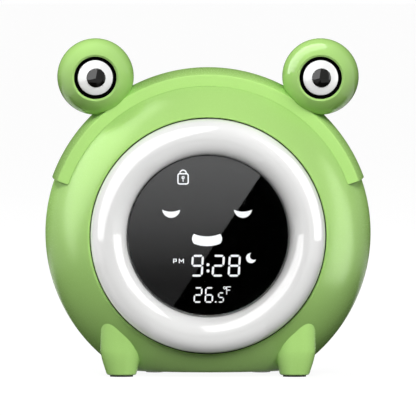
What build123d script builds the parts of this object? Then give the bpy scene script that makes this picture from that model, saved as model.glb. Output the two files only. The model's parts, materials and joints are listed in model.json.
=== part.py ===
from build123d import *
import os
from collections import namedtuple
from math import asin, atan2, cos, degrees, radians, sin, sqrt, tan

# Round bedside clock in the form of a frog: a night-light ring around a dark display, a hood band over the
# top that carries two ball eyes, two front legs, and a sunk control panel with the battery bay at the back.
# The front looks along -Y, +Z is up, the ground is at z = 0, and the two shells meet at y = 0.

# ---- driving dimensions, millimetres and degrees ----

# body
face_margin = 19.0
front_depth = 36.0
rear_reach = 32.0
shell_wall = 2.2
flat_height = 1.75
flat_cut = 10.5
seam_gap = 0.1
tongue_wall = 1.2
tongue_reach = 2.0
tongue_gap = 0.25

# light ring and screen
screen_radius = 33.45
ring_width = 14.95
ring_reach = 32.0
collar_step = 0.8
ring_wall = 2.0
ring_gap = 0.35
lip_fillet = 0.7
flange_reach = 1.3
flange_wall = 1.4
lens_wall = 1.8
mask_wall = 1.0
symbol_wall = 0.6

# hood band
hood_front_y = -14.9
hood_face_height = 4.82
hood_rise = 1.2
hood_start_angle = 19.5
hood_fillet = 0.6
hood_gap = 0.1
peg_radius = 2.3
peg_y = -6.0
peg_angles = (38.0, 90.0, 142.0)
peg_reach = 2.75

# eyes
eye_angle = 54.49
eye_y = -8.9
eye_radius = 15.9
eye_sink = 4.36
eye_wall = 2.0
eye_opening_radius = 8.8
eye_chamfer = 0.9
cup_margin = 1.3
cup_setback = 6.0
cup_wall = 2.2
white_radius = 7.3
white_rim = 1.3
white_dome = 1.3
pupil_gap = 0.05
pupil_radius = 3.96
pupil_depth = 1.6
pupil_rise = 0.7
pupil_shift = 0.33
eye_post_radius = 2.6
eye_post_setback = 3.6
eye_post_height = 3.2
eye_floor_wall = 0.8

# legs and pads
leg_spacing = 72.6
leg_y = -16.0
leg_half_width = 8.4
leg_half_depth = 5.6
leg_corner = 5.0
leg_taper = ((0.0, 0.72), (0.35, 0.84), (0.7, 0.945), (1.0, 1.0))
leg_taper_height = 10.5
leg_tip_shift = 0.35
leg_height = 26.0
leg_fillet = 0.6
front_pad_height = 0.7
front_pad_half_width = 4.8
front_pad_half_depth = 2.5
rear_pad_radius = 4.0
rear_pad_spacing = 44.0
rear_pad_y = 12.5

# light carrier and boards
carrier_wall = 1.8
collar_wall = 2.0
collar_inset = 0.7
board_wall = 1.6
ring_board_gap = 0.4
ring_led_count = 16
ring_led_size = 3.2
ring_led_height = 1.6
ring_led_setback = 0.11
carrier_ear_offset = 2.5
carrier_screw_angles = (90.0, 200.0, 340.0)
carrier_ear_radius = 3.4
carrier_boss_radius = 2.4
display_board_margin = 8.9
display_board_y = -8.4
display_post_inset = 3.0
display_post_radius = 2.4
display_post_angles = (60.0, 180.0, 300.0)
display_led_size = 2.0
display_led_height = 1.2
chip_size = 10.0
chip_height = 1.4

# rear panel
panel_recess = 2.5
panel_radius = 44.2
panel_wall = 2.2
rim_width = 2.8
rim_fillet = 1.0
case_screw_inset = 11.75
case_screw_angles = (45.0, 135.0, 225.0, 315.0)
case_seat_y = 17.0
case_joint_y = 12.0
case_post_radius = 4.4
case_boss_radius = 3.4
well_gap = 0.4

# battery bay: the cells lie across the clock, one above the other
cell_radius = 5.25
cell_body_length = 43.3
cell_nub_radius = 1.9
cell_nub_length = 1.0
cell_count = 3
cell_gap = 0.4
bay_x = 0.0
bay_z = -11.0
bay_wall = 1.6
spring_length = 4.6
spring_radius = 3.0
spring_wire_radius = 0.35
spring_turns = 4
contact_wall = 0.5
contact_size = 8.6
door_wall = 2.0
door_margin = 2.2
door_gap = 0.3
door_corner = 3.0
door_screw_x = 18.0
door_screw_drop = 1.8
door_tab_radius = 3.4
door_boss_radius = 2.6
grip_length = 12.0
grip_width = 1.0
grip_depth = 0.5
grip_pitch = 2.6
grip_count = 3

# speaker
speaker_x = -19.0
speaker_z = 23.5
speaker_radius = 12.0
speaker_depth = 3.6
speaker_rim = 1.6
magnet_radius = 6.5
magnet_height = 4.2
cone_wall = 0.6
cone_lift = 0.3
grille_hole_radius = 0.85
grille_pitch = 3.3
grille_rings = 3

# rear buttons, placed as seen from behind
button_columns = (4.0, 15.0, 26.0)
button_rows = (26.0, 15.0)
button_names = ("time", "alarm", "sound", "light", "up", "down")
button_radius = 3.6
button_rise = 1.4
button_gap = 0.25
button_flange = 0.9
button_flange_wall = 1.1
button_rest_gap = 0.3
button_travel = 0.8
button_edge = 0.4
stem_radius = 1.5
stem_length = 1.5
switch_size = 6.0
switch_height = 3.5
plunger_height = 0.6
stop_gap = 0.3
control_board_width = 39.4
control_board_height = 22.5
control_board_x = 14.2
control_board_z = 21.0
control_post_radius = 2.0
control_post_inset = 2.4

# USB inlet
usb_z = -37.6
usb_width = 8.9
usb_height = 3.2
usb_depth = 7.4
usb_wall = 0.4
usb_gap = 0.25
usb_board_width = 16.0
usb_board_depth = 15.0
rail_wall = 1.8
rail_height = 4.4

# ribbon cable
ribbon_x = 12.0
ribbon_z = 20.5
ribbon_width = 9.0
ribbon_wall = 0.6
ribbon_bow = 3.0
header_height = 2.6
header_depth = 3.4

# fasteners: head radius, head height, shank radius, length under the head
Screw = namedtuple("Screw", "head_radius head_height shank_radius length")
case_screw = Screw(2.8, 2.1, 1.4, 14.0)
carrier_screw = Screw(2.1, 1.5, 1.0, 5.2)
board_screw = Screw(1.8, 1.3, 0.9, 4.4)
hood_screw = Screw(1.9, 1.3, 0.8, 4.6)
eye_screw = Screw(1.7, 0.6, 0.8, 5.0)
door_screw_size = Screw(1.9, 1.0, 1.0, 5.0)
screw_gap = 0.2
thread_gap = 0.05

# display symbols, placed from the screen's centre as seen from the front
digit_slant = 3.4
segment_gap = 0.19
time_stroke = 0.88
time_width = 5.05
time_height = 9.1
time_z = -12.68
time_digits = ((-4.45, "abcdfg"), (4.25, "abged"), (10.9, "abcdefg"))
colon_radius = 0.66
colon_z = (-12.25, -14.85)
temperature_stroke = 0.62
temperature_width = 3.5
temperature_height = 6.5
temperature_z = -24.85
temperature_digits = ((-4.15, "abged"), (0.45, "acdefg"))
tenths_x = 5.4
tenths_stroke = 0.5
tenths_width = 2.55
tenths_height = 4.3
tenths_z = -25.9
point_x = 3.2
point_radius = 0.35
degree_x = 6.9
degree_z = -21.9
degree_radius = 0.6
small_stroke = 0.36
unit_x = 7.75
unit_z = -24.45
unit_width = 1.5
unit_height = 2.95
noon_x = -14.3
noon_z = -11.45
noon_width = 1.75
noon_height = 1.5
noon_step = 2.35
moon_x = 17.9
moon_z = -9.5
moon_radius = 2.1
moon_bite_radius = 1.66
moon_bite = (1.15, 0.9)
closed_eye_spacing = 29.8
closed_eye_half = 3.72
closed_eye_z = 10.6
closed_eye_sag = 0.8
closed_eye_depth = 3.35
face_x = -0.4
mouth_half = 5.45
mouth_top = 0.55
mouth_bottom = -3.5
mouth_sag = 1.05
mouth_bulge = 0.8
lock_x = -10.35
lock_z = 23.45
lock_width = 4.25
lock_height = 4.25
lock_corner = 1.0
lock_stroke = 0.54
shackle_radius = 1.3
shackle_rise = 0.2
keyhole_radius = 0.65
keyhole_bore = 0.27
keyhole_drop = 1.9

os.makedirs("parts", exist_ok=True)

# ---- shared planes and sizes that follow from the values above ----

ring_inner_radius = screen_radius + ring_gap
ring_radius = ring_inner_radius + ring_width
opening_radius = ring_radius + ring_gap
ring_half_width = ring_width / 2
ring_middle = ring_inner_radius + ring_half_width
body_radius = ring_radius + face_margin
body_height = flat_height + body_radius - flat_cut

body_axis = Axis((0, 0, body_height), (0, -1, 0))
profile_plane = Plane.XY.offset(body_height)
front_origin = Plane(origin=(0, 0, body_height), x_dir=(1, 0, 0), z_dir=(0, -1, 0))
rear_origin = Plane(origin=(0, 0, body_height), x_dir=(-1, 0, 0), z_dir=(0, 1, 0))

ring_base_y = -(ring_reach - ring_half_width)
collar_radius = screen_radius - collar_inset
carrier_radius = opening_radius + flange_reach + seam_gap
carrier_screw_circle = carrier_radius + carrier_ear_offset
display_board_radius = collar_radius + display_board_margin
display_post_circle = display_board_radius - display_post_inset
rear_rim_radius = panel_radius + rim_width
case_screw_circle = body_radius - case_screw_inset
peg_end_radius = body_radius - shell_wall - peg_reach
rear_depth = rear_reach / sqrt(1 - (rear_rim_radius / body_radius) ** 2)
panel_y = rear_reach - panel_recess
panel_inner_y = panel_y - panel_wall
cavity_floor = flat_height + shell_wall


def facing_front(y):
    """Plane at depth y whose normal points to the front; its x runs right as seen from the front."""
    return front_origin.offset(-y)


def facing_rear(y):
    """Plane at depth y whose normal points to the rear; its x runs right as seen from behind."""
    return rear_origin.offset(y)


def radial_plane(angle, radius, y, outward=1):
    """Plane square to a spoke of the body at the given angle, radius and depth."""
    spoke = Vector(cos(radians(angle)), 0, sin(radians(angle)))
    origin = Vector(0, y, body_height) + spoke * radius
    return Plane(origin=origin, x_dir=(0, 1, 0), z_dir=spoke * outward)


def polar_spots(radius, angles):
    """Points on a circle, as seen in the plane they are used on."""
    return [(radius * cos(radians(a)), radius * sin(radians(a))) for a in angles]


def ellipse_y(radius, depth, r):
    """Depth of an ellipse of revolution at distance r from its axis."""
    return depth * sqrt(1 - (r / radius) ** 2)


def body_half(radius, depth, cut_y, floor):
    """Half of an ellipse of revolution, cut flat at depth cut_y and at height floor."""
    side = 1 if cut_y > 0 else -1
    sweep_angle = side * degrees(asin(abs(cut_y) / depth))
    with BuildPart() as half:
        with BuildSketch(profile_plane):
            with BuildLine():
                edge = EllipticalCenterArc((0, 0), radius, depth, start_angle=0, arc_size=sweep_angle)
                Polyline(edge @ 1, (0, cut_y), (0, 0), edge @ 0)
            make_face()
        revolve(axis=body_axis)
        split(bisect_by=Plane.XY.offset(floor), keep=Keep.TOP)
    return half.part


def drill(planes, radius, depth):
    """Cuts a round hole into the open part from each plane, against its normal."""
    with Locations(*planes):
        Cylinder(radius, depth, align=(Align.CENTER, Align.CENTER, Align.MAX), mode=Mode.SUBTRACT)


def pillar(planes, radius, height):
    """Adds a round post to the open part on each plane, along its normal."""
    with Locations(*planes):
        Cylinder(radius, height, align=(Align.CENTER, Align.CENTER, Align.MIN))


def add_screws(planes, size):
    """Adds a cross-head screw on each seat plane: head along the normal, shank against it."""
    slot_width = size.head_radius * 0.32
    slot_length = size.head_radius * 1.3
    slot_depth = size.head_height * 0.6
    with Locations(*planes):
        Cylinder(size.head_radius, size.head_height, align=(Align.CENTER, Align.CENTER, Align.MIN))
        Cylinder(size.shank_radius, size.length, align=(Align.CENTER, Align.CENTER, Align.MAX))
    with Locations(*[plane.offset(size.head_height) for plane in planes]):
        Box(slot_length, slot_width, 2 * slot_depth, mode=Mode.SUBTRACT)
        Box(slot_width, slot_length, 2 * slot_depth, mode=Mode.SUBTRACT)


def spots_on(plane, spots):
    """Copies of a plane moved to points given in its own x and y."""
    return [Plane(origin=plane.from_local_coords((x, y, 0)), x_dir=plane.x_dir, z_dir=plane.z_dir)
            for x, y in spots]


def save(piece, label):
    """Names a finished piece and writes it."""
    piece.part.label = label
    export_step(piece.part, f"parts/{label}.step")


# ---- body envelopes ----

front_cut_y = -ellipse_y(body_radius, front_depth, opening_radius)
inner_radius = body_radius - shell_wall
front_inner_cut_y = -ellipse_y(inner_radius, front_depth - shell_wall, opening_radius + shell_wall)
front_body = body_half(body_radius, front_depth, front_cut_y, flat_height)
front_cavity = body_half(inner_radius, front_depth - shell_wall, front_inner_cut_y, cavity_floor)
rear_body = body_half(body_radius, rear_depth, rear_reach, flat_height)
rear_cavity = body_half(inner_radius, rear_depth - shell_wall, panel_inner_y, cavity_floor)
flange_front = -front_inner_cut_y - seam_gap
flange_back = flange_front - flange_wall
ring_board_front_y = ring_led_height + ring_led_setback - flange_back
carrier_y = ring_board_front_y + board_wall
mask_back_y = carrier_y - collar_step
lens_back_y = mask_back_y - mask_wall
screen_y = lens_back_y - lens_wall
skirt_end = ring_gap / 2 - ring_board_front_y

# ---- placements shared by pieces that meet ----

case_seats = spots_on(facing_rear(case_seat_y), polar_spots(case_screw_circle, case_screw_angles))
case_joints = spots_on(facing_rear(case_joint_y), polar_spots(case_screw_circle, case_screw_angles))
carrier_back_y = carrier_y + carrier_wall
carrier_seats = spots_on(facing_rear(carrier_back_y), polar_spots(carrier_screw_circle, carrier_screw_angles))
carrier_joints = spots_on(facing_rear(carrier_y), polar_spots(carrier_screw_circle, carrier_screw_angles))
display_seats = spots_on(facing_rear(display_board_y), polar_spots(display_post_circle, display_post_angles))
display_joints = [plane.offset(-board_wall) for plane in display_seats]
peg_ends = [radial_plane(angle, peg_end_radius, peg_y, outward=-1) for angle in peg_angles]

button_spots = [(x, z) for z in button_rows for x in button_columns]
control_stack = stop_gap + button_travel + switch_height
stem_end_y = panel_inner_y - button_rest_gap - button_flange_wall - stem_length
control_board_y = stem_end_y - control_stack
control_spots = [
    (control_board_x + side_x * (control_board_width / 2 - control_post_inset),
     control_board_z + side_z * (control_board_height / 2 - control_post_inset))
    for side_x, side_z in ((-1, -1), (1, 1), (-1, 1))
]
control_posts = spots_on(facing_rear(control_board_y), control_spots)

cell_pitch = 2 * cell_radius + cell_gap
cell_length = cell_body_length + cell_nub_length
bay_length = cell_length + spring_length + 2 * contact_wall + 2 * cell_gap
bay_height = cell_count * cell_pitch + cell_gap
door_width = bay_length + 2 * door_margin
door_height = bay_height + 2 * door_margin
door_inner_y = panel_y - door_wall
cell_y = door_inner_y - cell_gap - cell_radius
bay_floor_y = cell_y - cell_radius - cell_gap
door_screw_spot = (door_screw_x, bay_z - door_height / 2 - door_screw_drop)

# ---- front shell: round front with the two legs, the ring opening and the bosses ----

with BuildPart() as front_bosses:
    pillar([plane.offset(-front_depth - case_joint_y) for plane in case_joints], case_boss_radius,
           front_depth + case_joint_y)
    add(front_body + body_half(inner_radius, rear_depth - shell_wall, rear_reach, cavity_floor),
        mode=Mode.INTERSECT)

with BuildPart() as carrier_bosses:
    pillar([plane.offset(-front_depth) for plane in carrier_joints], carrier_boss_radius, front_depth)
    add(front_body, mode=Mode.INTERSECT)

with BuildPart() as front_shell:
    add(front_body)
    for side in (-1, 1):
        for height_share, scale in leg_taper:
            section_z = front_pad_height + height_share * (leg_taper_height - front_pad_height)
            section_x = side * (leg_spacing / 2 - leg_tip_shift * (1 - height_share))
            with BuildSketch(Plane((section_x, leg_y, section_z))):
                RectangleRounded(2 * leg_half_width * scale, 2 * leg_half_depth * scale, leg_corner * scale)
        loft()
        with BuildSketch(Plane((side * leg_spacing / 2, leg_y, leg_taper_height))):
            RectangleRounded(2 * leg_half_width, 2 * leg_half_depth, leg_corner)
        extrude(amount=leg_height - leg_taper_height)
    fillet(front_shell.faces().sort_by(Axis.Z)[:2].edges(), leg_fillet)
    add(front_cavity, mode=Mode.SUBTRACT)
    add(front_bosses.part)
    add(carrier_bosses.part)
    with BuildSketch(facing_front(0)):
        Circle(opening_radius)
    extrude(amount=front_depth, mode=Mode.SUBTRACT)
    lip = front_shell.edges().filter_by(GeomType.CIRCLE).sort_by(Axis.Y)[0]
    fillet(lip, lip_fillet)
    drill(case_joints, case_screw.shank_radius + thread_gap, case_screw.length)
    drill(carrier_joints, carrier_screw.shank_radius + thread_gap,
          carrier_screw.length - carrier_wall + screw_gap)
    drill([plane.offset(shell_wall) for plane in peg_ends], peg_radius + thread_gap, 4 * shell_wall)
save(front_shell, "front_shell")

# ---- rear shell: curved back, sunk panel, battery bay, posts ----

button_pockets = spots_on(facing_rear(panel_y), button_spots)
grille_spots = [(speaker_x, speaker_z)]
for grille_ring in range(1, grille_rings + 1):
    for step in range(6 * grille_ring):
        step_angle = radians(360 * step / (6 * grille_ring))
        grille_spots.append((speaker_x + grille_ring * grille_pitch * cos(step_angle),
                             speaker_z + grille_ring * grille_pitch * sin(step_angle)))

with BuildPart() as rear_posts:
    pillar(case_joints, case_post_radius, rear_reach)
    add(rear_body, mode=Mode.INTERSECT)

with BuildPart() as tongue:
    with BuildSketch(facing_front(tongue_reach)):
        Circle(body_radius - shell_wall / 2)
        Circle(body_radius - shell_wall - tongue_gap - tongue_wall, mode=Mode.SUBTRACT)
    extrude(amount=tongue_reach)
    with BuildSketch(facing_front(0)):
        Circle(body_radius - shell_wall - tongue_gap)
        Circle(body_radius - shell_wall - tongue_gap - tongue_wall, mode=Mode.SUBTRACT)
    extrude(amount=tongue_reach)
    split(bisect_by=Plane.XY.offset(cavity_floor + tongue_gap), keep=Keep.TOP)

with BuildPart() as rear_shell:
    add(rear_body)
    add(rear_cavity, mode=Mode.SUBTRACT)
    with BuildSketch(facing_rear(panel_y)):
        Circle(panel_radius)
    extrude(amount=panel_recess, mode=Mode.SUBTRACT)
    rims = rear_shell.edges().filter_by(GeomType.CIRCLE).group_by(Axis.Y)[-1]
    fillet(rims, rim_fillet)
    add(tongue.part)
    add(rear_posts.part)
    drill([plane.offset(rear_reach) for plane in case_seats], case_screw.head_radius + well_gap, rear_reach)
    drill(case_seats, case_screw.shank_radius + screw_gap, case_seat_y - case_joint_y)
    # battery bay: box, flange under the door, door opening
    with BuildSketch(facing_rear(bay_floor_y - bay_wall)):
        with Locations((bay_x, bay_z)):
            Rectangle(bay_length + 2 * bay_wall, bay_height + 2 * bay_wall)
    extrude(amount=panel_inner_y - bay_floor_y + bay_wall)
    with BuildSketch(facing_rear(door_inner_y - bay_wall)):
        with Locations((bay_x, bay_z)):
            Rectangle(door_width + 2 * bay_wall, door_height + 2 * bay_wall)
        with Locations(door_screw_spot):
            Circle(door_tab_radius + bay_wall)
    extrude(amount=bay_wall)
    door_boss = spots_on(facing_rear(door_inner_y - door_screw_size.length), [door_screw_spot])
    pillar(door_boss, door_boss_radius, door_screw_size.length)
    with BuildSketch(facing_rear(bay_floor_y)):
        with Locations((bay_x, bay_z)):
            Rectangle(bay_length, bay_height)
    extrude(amount=rear_reach, mode=Mode.SUBTRACT)
    with BuildSketch(facing_rear(door_inner_y)):
        with Locations((bay_x, bay_z)):
            RectangleRounded(door_width, door_height, door_corner)
        with Locations(door_screw_spot):
            Circle(door_tab_radius)
    extrude(amount=rear_reach, mode=Mode.SUBTRACT)
    door_screw_hole = spots_on(facing_rear(door_inner_y), [door_screw_spot])
    drill(door_screw_hole, door_screw_size.shank_radius + thread_gap, door_screw_size.length - door_wall / 2)
    # speaker grille and button holes
    drill(spots_on(facing_rear(panel_y), grille_spots), grille_hole_radius, panel_wall)
    drill(button_pockets, button_radius + button_gap, panel_wall)
    pillar(control_posts, control_post_radius, panel_inner_y - control_board_y)
    drill([plane.offset(board_screw.length - board_wall) for plane in control_posts],
          board_screw.shank_radius + thread_gap, board_screw.length)
    # USB opening and the two rails that hold its board
    with BuildSketch(facing_rear(panel_inner_y)):
        with Locations((0, usb_z)):
            RectangleRounded(usb_width + 2 * usb_gap, usb_height + 2 * usb_gap, usb_height / 2)
    extrude(amount=panel_wall, mode=Mode.SUBTRACT)
    board_z = usb_z - usb_height / 2 - board_wall
    with BuildSketch(facing_rear(panel_inner_y)):
        with Locations(*[(side * (usb_board_width / 2 + rail_wall / 4), board_z + board_wall / 2)
                         for side in (-1, 1)]):
            Rectangle(rail_wall * 1.5, rail_height)
    extrude(amount=-usb_board_depth)
    with BuildSketch(facing_rear(panel_inner_y)):
        with Locations((0, board_z + board_wall / 2)):
            Rectangle(usb_board_width + 2 * usb_gap, board_wall + usb_gap)
    extrude(amount=-usb_board_depth, mode=Mode.SUBTRACT)
save(rear_shell, "rear_shell")

# ---- hood band: hugs the body from ear to ear and carries the eyes ----

eye_sides = (("left", -1, 180 - eye_angle), ("right", 1, eye_angle))
eye_post_y = eye_y + eye_post_setback


def body_surface(y):
    """Radius of the body's front half at depth y."""
    return body_radius * sqrt(1 - (y / front_depth) ** 2)


hood_crease_radius = body_surface(hood_front_y) + hood_face_height
hood_radius = body_radius + hood_rise


def hood_section(plane, grow):
    """Face from the body's axis out to the band's outer face."""
    with BuildSketch(plane) as section:
        with BuildLine():
            outer = ThreePointArc((hood_crease_radius + grow, hood_front_y), (hood_radius + grow, 0),
                                  (hood_crease_radius + grow, -hood_front_y))
            Polyline(outer @ 0, (0, hood_front_y), (0, -hood_front_y), outer @ 1)
        make_face()
    return section.sketch


start = radians(hood_start_angle)
hood_plane = Plane(origin=(0, 0, body_height), x_dir=(cos(start), 0, sin(start)),
                   z_dir=(-sin(start), 0, cos(start)))

eye_screw_spots = []
for label, side, angle in eye_sides:
    seat_radius = body_surface(eye_post_y + eye_screw.head_radius) + 1.5 * hood_gap + eye_screw.head_height
    eye_screw_spots.append(radial_plane(angle, seat_radius, eye_post_y, outward=-1))

with BuildPart() as hood_band:
    revolve(hood_section(hood_plane, 0), axis=body_axis, revolution_arc=180 - 2 * hood_start_angle)
    for depth, cut_y in ((front_depth, hood_front_y - hood_gap), (rear_depth, hood_gap - hood_front_y)):
        add(body_half(body_radius + hood_gap, depth + hood_gap, cut_y, 0), mode=Mode.SUBTRACT)
    creases = [edge for edge in hood_band.edges().filter_by(GeomType.CIRCLE)
               if abs(edge.radius - hood_crease_radius) < hood_gap / 2]
    fillet(creases, hood_fillet)
    pegs = [radial_plane(angle, peg_end_radius, peg_y) for angle in peg_angles]
    pillar(pegs, peg_radius, body_radius - peg_end_radius)
    drill(peg_ends, hood_screw.shank_radius + thread_gap, hood_screw.length)
    drill([plane.offset(shell_wall) for plane in eye_screw_spots],
          eye_screw.head_radius + screw_gap, shell_wall)
    drill(eye_screw_spots, eye_screw.shank_radius + screw_gap, shell_wall)
save(hood_band, "hood_band")

with BuildPart() as eye_seat:
    revolve(hood_section(hood_plane, seam_gap / 2), axis=body_axis)

# ---- eyes: a ball split front and back, with a black cup, a white dome and a pupil bead ----


def eye_hollow(eye_plane, angle, radius):
    """Ball-shaped hollow of an eye, flat above the floor that sits on the hood band."""
    with BuildPart() as hollow:
        with Locations(eye_plane):
            Sphere(radius)
        split(bisect_by=radial_plane(angle, hood_radius + eye_floor_wall, 0), keep=Keep.TOP)
    return hollow.part


def dome_profile(plane, radius, base, rim, crown):
    """Half section of a low dome: base and rim heights at its edge, crown height on its axis."""
    with BuildSketch(plane) as section:
        with BuildLine():
            sag = crown - rim
            arc_radius = (radius ** 2 + sag ** 2) / (2 * sag)
            middle = (radius / 2, crown - arc_radius + sqrt(arc_radius ** 2 - radius ** 2 / 4))
            ThreePointArc((0, crown), middle, (radius, rim))
            Polyline((radius, rim), (radius, base), (0, base), (0, crown))
        make_face()
    return section.sketch


eye_distance = hood_radius + eye_radius - eye_sink
cup_radius = eye_opening_radius + cup_margin
cup_front = eye_radius - cup_setback
for label, side, angle in eye_sides:
    eye_centre = (eye_distance * cos(radians(angle)), eye_y,
                  body_height + eye_distance * sin(radians(angle)))
    eye_plane = Plane(origin=eye_centre, x_dir=(1, 0, 0), z_dir=(0, -1, 0))
    eye_profile = Plane(origin=eye_centre, x_dir=(1, 0, 0), z_dir=(0, 0, -1))
    eye_axis = Axis(eye_centre, (0, -1, 0))
    pupil_centre = (eye_centre[0] + pupil_shift, eye_centre[1], eye_centre[2])
    pupil_plane = Plane(origin=pupil_centre, x_dir=(1, 0, 0), z_dir=(0, -1, 0))
    pupil_profile = Plane(origin=pupil_centre, x_dir=(1, 0, 0), z_dir=(0, 0, -1))
    hollow = eye_hollow(eye_plane, angle, eye_radius - eye_wall)

    with BuildPart() as eye_front:
        with Locations(eye_plane):
            Sphere(eye_radius)
        add(hollow, mode=Mode.SUBTRACT)
        split(bisect_by=eye_plane, keep=Keep.TOP)
        drill([eye_plane.offset(eye_radius)], eye_opening_radius, eye_radius)
        chamfer(eye_front.edges().filter_by(GeomType.CIRCLE).sort_by(Axis.Y)[0], eye_chamfer)
        add(eye_seat.part, mode=Mode.SUBTRACT)
    save(eye_front, f"{label}_eye_front")

    with BuildPart() as eye_back:
        with Locations(eye_plane):
            Sphere(eye_radius)
        add(hollow, mode=Mode.SUBTRACT)
        post = radial_plane(angle, hood_radius + eye_floor_wall / 2, eye_post_y)
        pillar([post], eye_post_radius, eye_floor_wall / 2 + eye_post_height)
        split(bisect_by=eye_plane, keep=Keep.BOTTOM)
        add(eye_seat.part, mode=Mode.SUBTRACT)
        eye_pilot = [plane for plane in eye_screw_spots if plane.origin.X * side > 0]
        drill(eye_pilot, eye_screw.shank_radius + thread_gap, eye_screw.length)
    save(eye_back, f"{label}_eye_back")

    with BuildPart() as eye_cup:
        pillar([eye_plane.offset(cup_front - cup_wall)], cup_radius, cup_wall)
        with Locations(eye_plane):
            Sphere(eye_radius - eye_wall - seam_gap / 2, mode=Mode.INTERSECT)
    save(eye_cup, f"{label}_eye_cup")

    white_edge = cup_front + white_rim
    white_crown = white_edge + white_dome
    pupil_floor = white_crown - pupil_depth
    with BuildPart() as eye_white:
        revolve(dome_profile(eye_profile, white_radius, cup_front, white_edge, white_crown), axis=eye_axis)
        drill([pupil_plane.offset(eye_radius)], pupil_radius + pupil_gap, eye_radius - pupil_floor)
    save(eye_white, f"{label}_eye_white")

    with BuildPart() as pupil:
        revolve(dome_profile(pupil_profile, pupil_radius, pupil_floor, white_crown - pupil_gap,
                             white_crown + pupil_rise), axis=Axis(pupil_centre, (0, -1, 0)))
    save(pupil, f"{label}_pupil")

# ---- light ring: half-round translucent tube, open at the back, trapped by its flange ----

front_profile = Plane(origin=(0, 0, body_height), x_dir=(1, 0, 0), z_dir=(0, 0, -1))
ring_base = -ring_base_y

with BuildPart() as light_ring:
    with BuildSketch(front_profile):
        with BuildLine():
            outer_edge = (ring_radius, ring_base)
            inner_edge = (ring_inner_radius, ring_base)
            ThreePointArc(outer_edge, (ring_middle, ring_reach), inner_edge)
            Polyline(inner_edge, (ring_inner_radius, skirt_end), (ring_inner_radius + ring_wall, skirt_end),
                     (ring_inner_radius + ring_wall, ring_base))
            ThreePointArc((ring_inner_radius + ring_wall, ring_base), (ring_middle, ring_reach - ring_wall),
                          (ring_radius - ring_wall, ring_base))
            flange_radius = opening_radius + flange_reach
            Polyline((ring_radius - ring_wall, ring_base), (ring_radius - ring_wall, flange_back),
                     (flange_radius, flange_back), (flange_radius, flange_front),
                     (ring_radius, flange_front), outer_edge)
        make_face()
    revolve(axis=body_axis)
save(light_ring, "light_ring")

# ---- display: lens, mask and the lit symbols let into the mask ----

with BuildPart() as display_lens:
    with BuildSketch(facing_rear(screen_y)):
        Circle(screen_radius)
    extrude(amount=lens_wall)
    fillet(display_lens.edges().sort_by(Axis.Y)[0], lens_wall / 6)
save(display_lens, "display_lens")

symbol_plane = facing_front(lens_back_y)


def stroke(start_point, end_point, width):
    """Straight bar between two points, square at both ends."""
    run = Vector(*end_point) - Vector(*start_point)
    turn = degrees(atan2(run.Y, run.X))
    with Locations(Location(((start_point[0] + end_point[0]) / 2, (start_point[1] + end_point[1]) / 2, 0),
                            (0, 0, turn))):
        Rectangle(run.length + width, width)


def seven_segments(centre, width, height, bar, lit):
    """Lit bars of one slanted seven-segment digit, each a bar with pointed ends."""
    half_width = (width - bar) / 2
    half_height = (height - bar) / 2
    corners = {
        "a": ((-half_width, half_height), (half_width, half_height)),
        "b": ((half_width, half_height), (half_width, 0)),
        "c": ((half_width, 0), (half_width, -half_height)),
        "d": ((-half_width, -half_height), (half_width, -half_height)),
        "e": ((-half_width, 0), (-half_width, -half_height)),
        "f": ((-half_width, half_height), (-half_width, 0)),
        "g": ((-half_width, 0), (half_width, 0)),
    }
    lean = tan(radians(digit_slant))
    for name in lit:
        first, last = (Vector(*point) for point in corners[name])
        along = (last - first).normalized()
        across = Vector(-along.Y, along.X) * (bar / 2)
        first += along * segment_gap
        last -= along * segment_gap
        inset = along * (bar / 2)
        outline = (first, first + inset + across, last - inset + across, last,
                   last - inset - across, first + inset - across)
        Polygon(*[(centre[0] + p.X + p.Y * lean, centre[1] + p.Y) for p in outline], align=None)


with BuildSketch(symbol_plane) as time_sketch:
    for digit_x, lit in time_digits:
        seven_segments((digit_x, time_z), time_width, time_height, time_stroke, lit)
    with Locations(*[(0, z) for z in colon_z]):
        Circle(colon_radius)

with BuildSketch(symbol_plane) as temperature_sketch:
    for digit_x, lit in temperature_digits:
        seven_segments((digit_x, temperature_z), temperature_width, temperature_height,
                       temperature_stroke, lit)
    seven_segments((tenths_x, tenths_z), tenths_width, tenths_height, tenths_stroke, "acdfg")
    with Locations((point_x, temperature_z - temperature_height / 2 + point_radius)):
        Circle(point_radius)
    with Locations((degree_x, degree_z)):
        Circle(degree_radius)
        Circle(degree_radius - small_stroke * 0.8, mode=Mode.SUBTRACT)
    unit_top = unit_z + unit_height
    unit_middle = unit_z + unit_height * 0.55
    stroke((unit_x, unit_z), (unit_x, unit_top), small_stroke)
    stroke((unit_x, unit_top), (unit_x + unit_width, unit_top), small_stroke)
    stroke((unit_x, unit_middle), (unit_x + unit_width * 0.8, unit_middle), small_stroke)

with BuildSketch(symbol_plane) as face_sketch:
    for side in (-1, 1):
        eye_x = face_x + side * closed_eye_spacing / 2
        with BuildLine():
            left_tip = (eye_x - closed_eye_half, closed_eye_z)
            right_tip = (eye_x + closed_eye_half, closed_eye_z)
            ThreePointArc(left_tip, (eye_x, closed_eye_z - closed_eye_sag), right_tip)
            ThreePointArc(right_tip, (eye_x, closed_eye_z - closed_eye_depth), left_tip)
        make_face()
    with BuildLine():
        mouth_left, mouth_right = face_x - mouth_half, face_x + mouth_half
        mouth_middle = (mouth_top + mouth_bottom) / 2
        ThreePointArc((mouth_left, mouth_top), (face_x, mouth_top - mouth_sag), (mouth_right, mouth_top))
        ThreePointArc((mouth_right, mouth_top), (mouth_right + mouth_bulge, mouth_middle),
                      (mouth_right, mouth_bottom))
        ThreePointArc((mouth_right, mouth_bottom), (face_x, mouth_bottom - mouth_sag),
                      (mouth_left, mouth_bottom))
        ThreePointArc((mouth_left, mouth_bottom), (mouth_left - mouth_bulge, mouth_middle),
                      (mouth_left, mouth_top))
    make_face()

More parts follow.
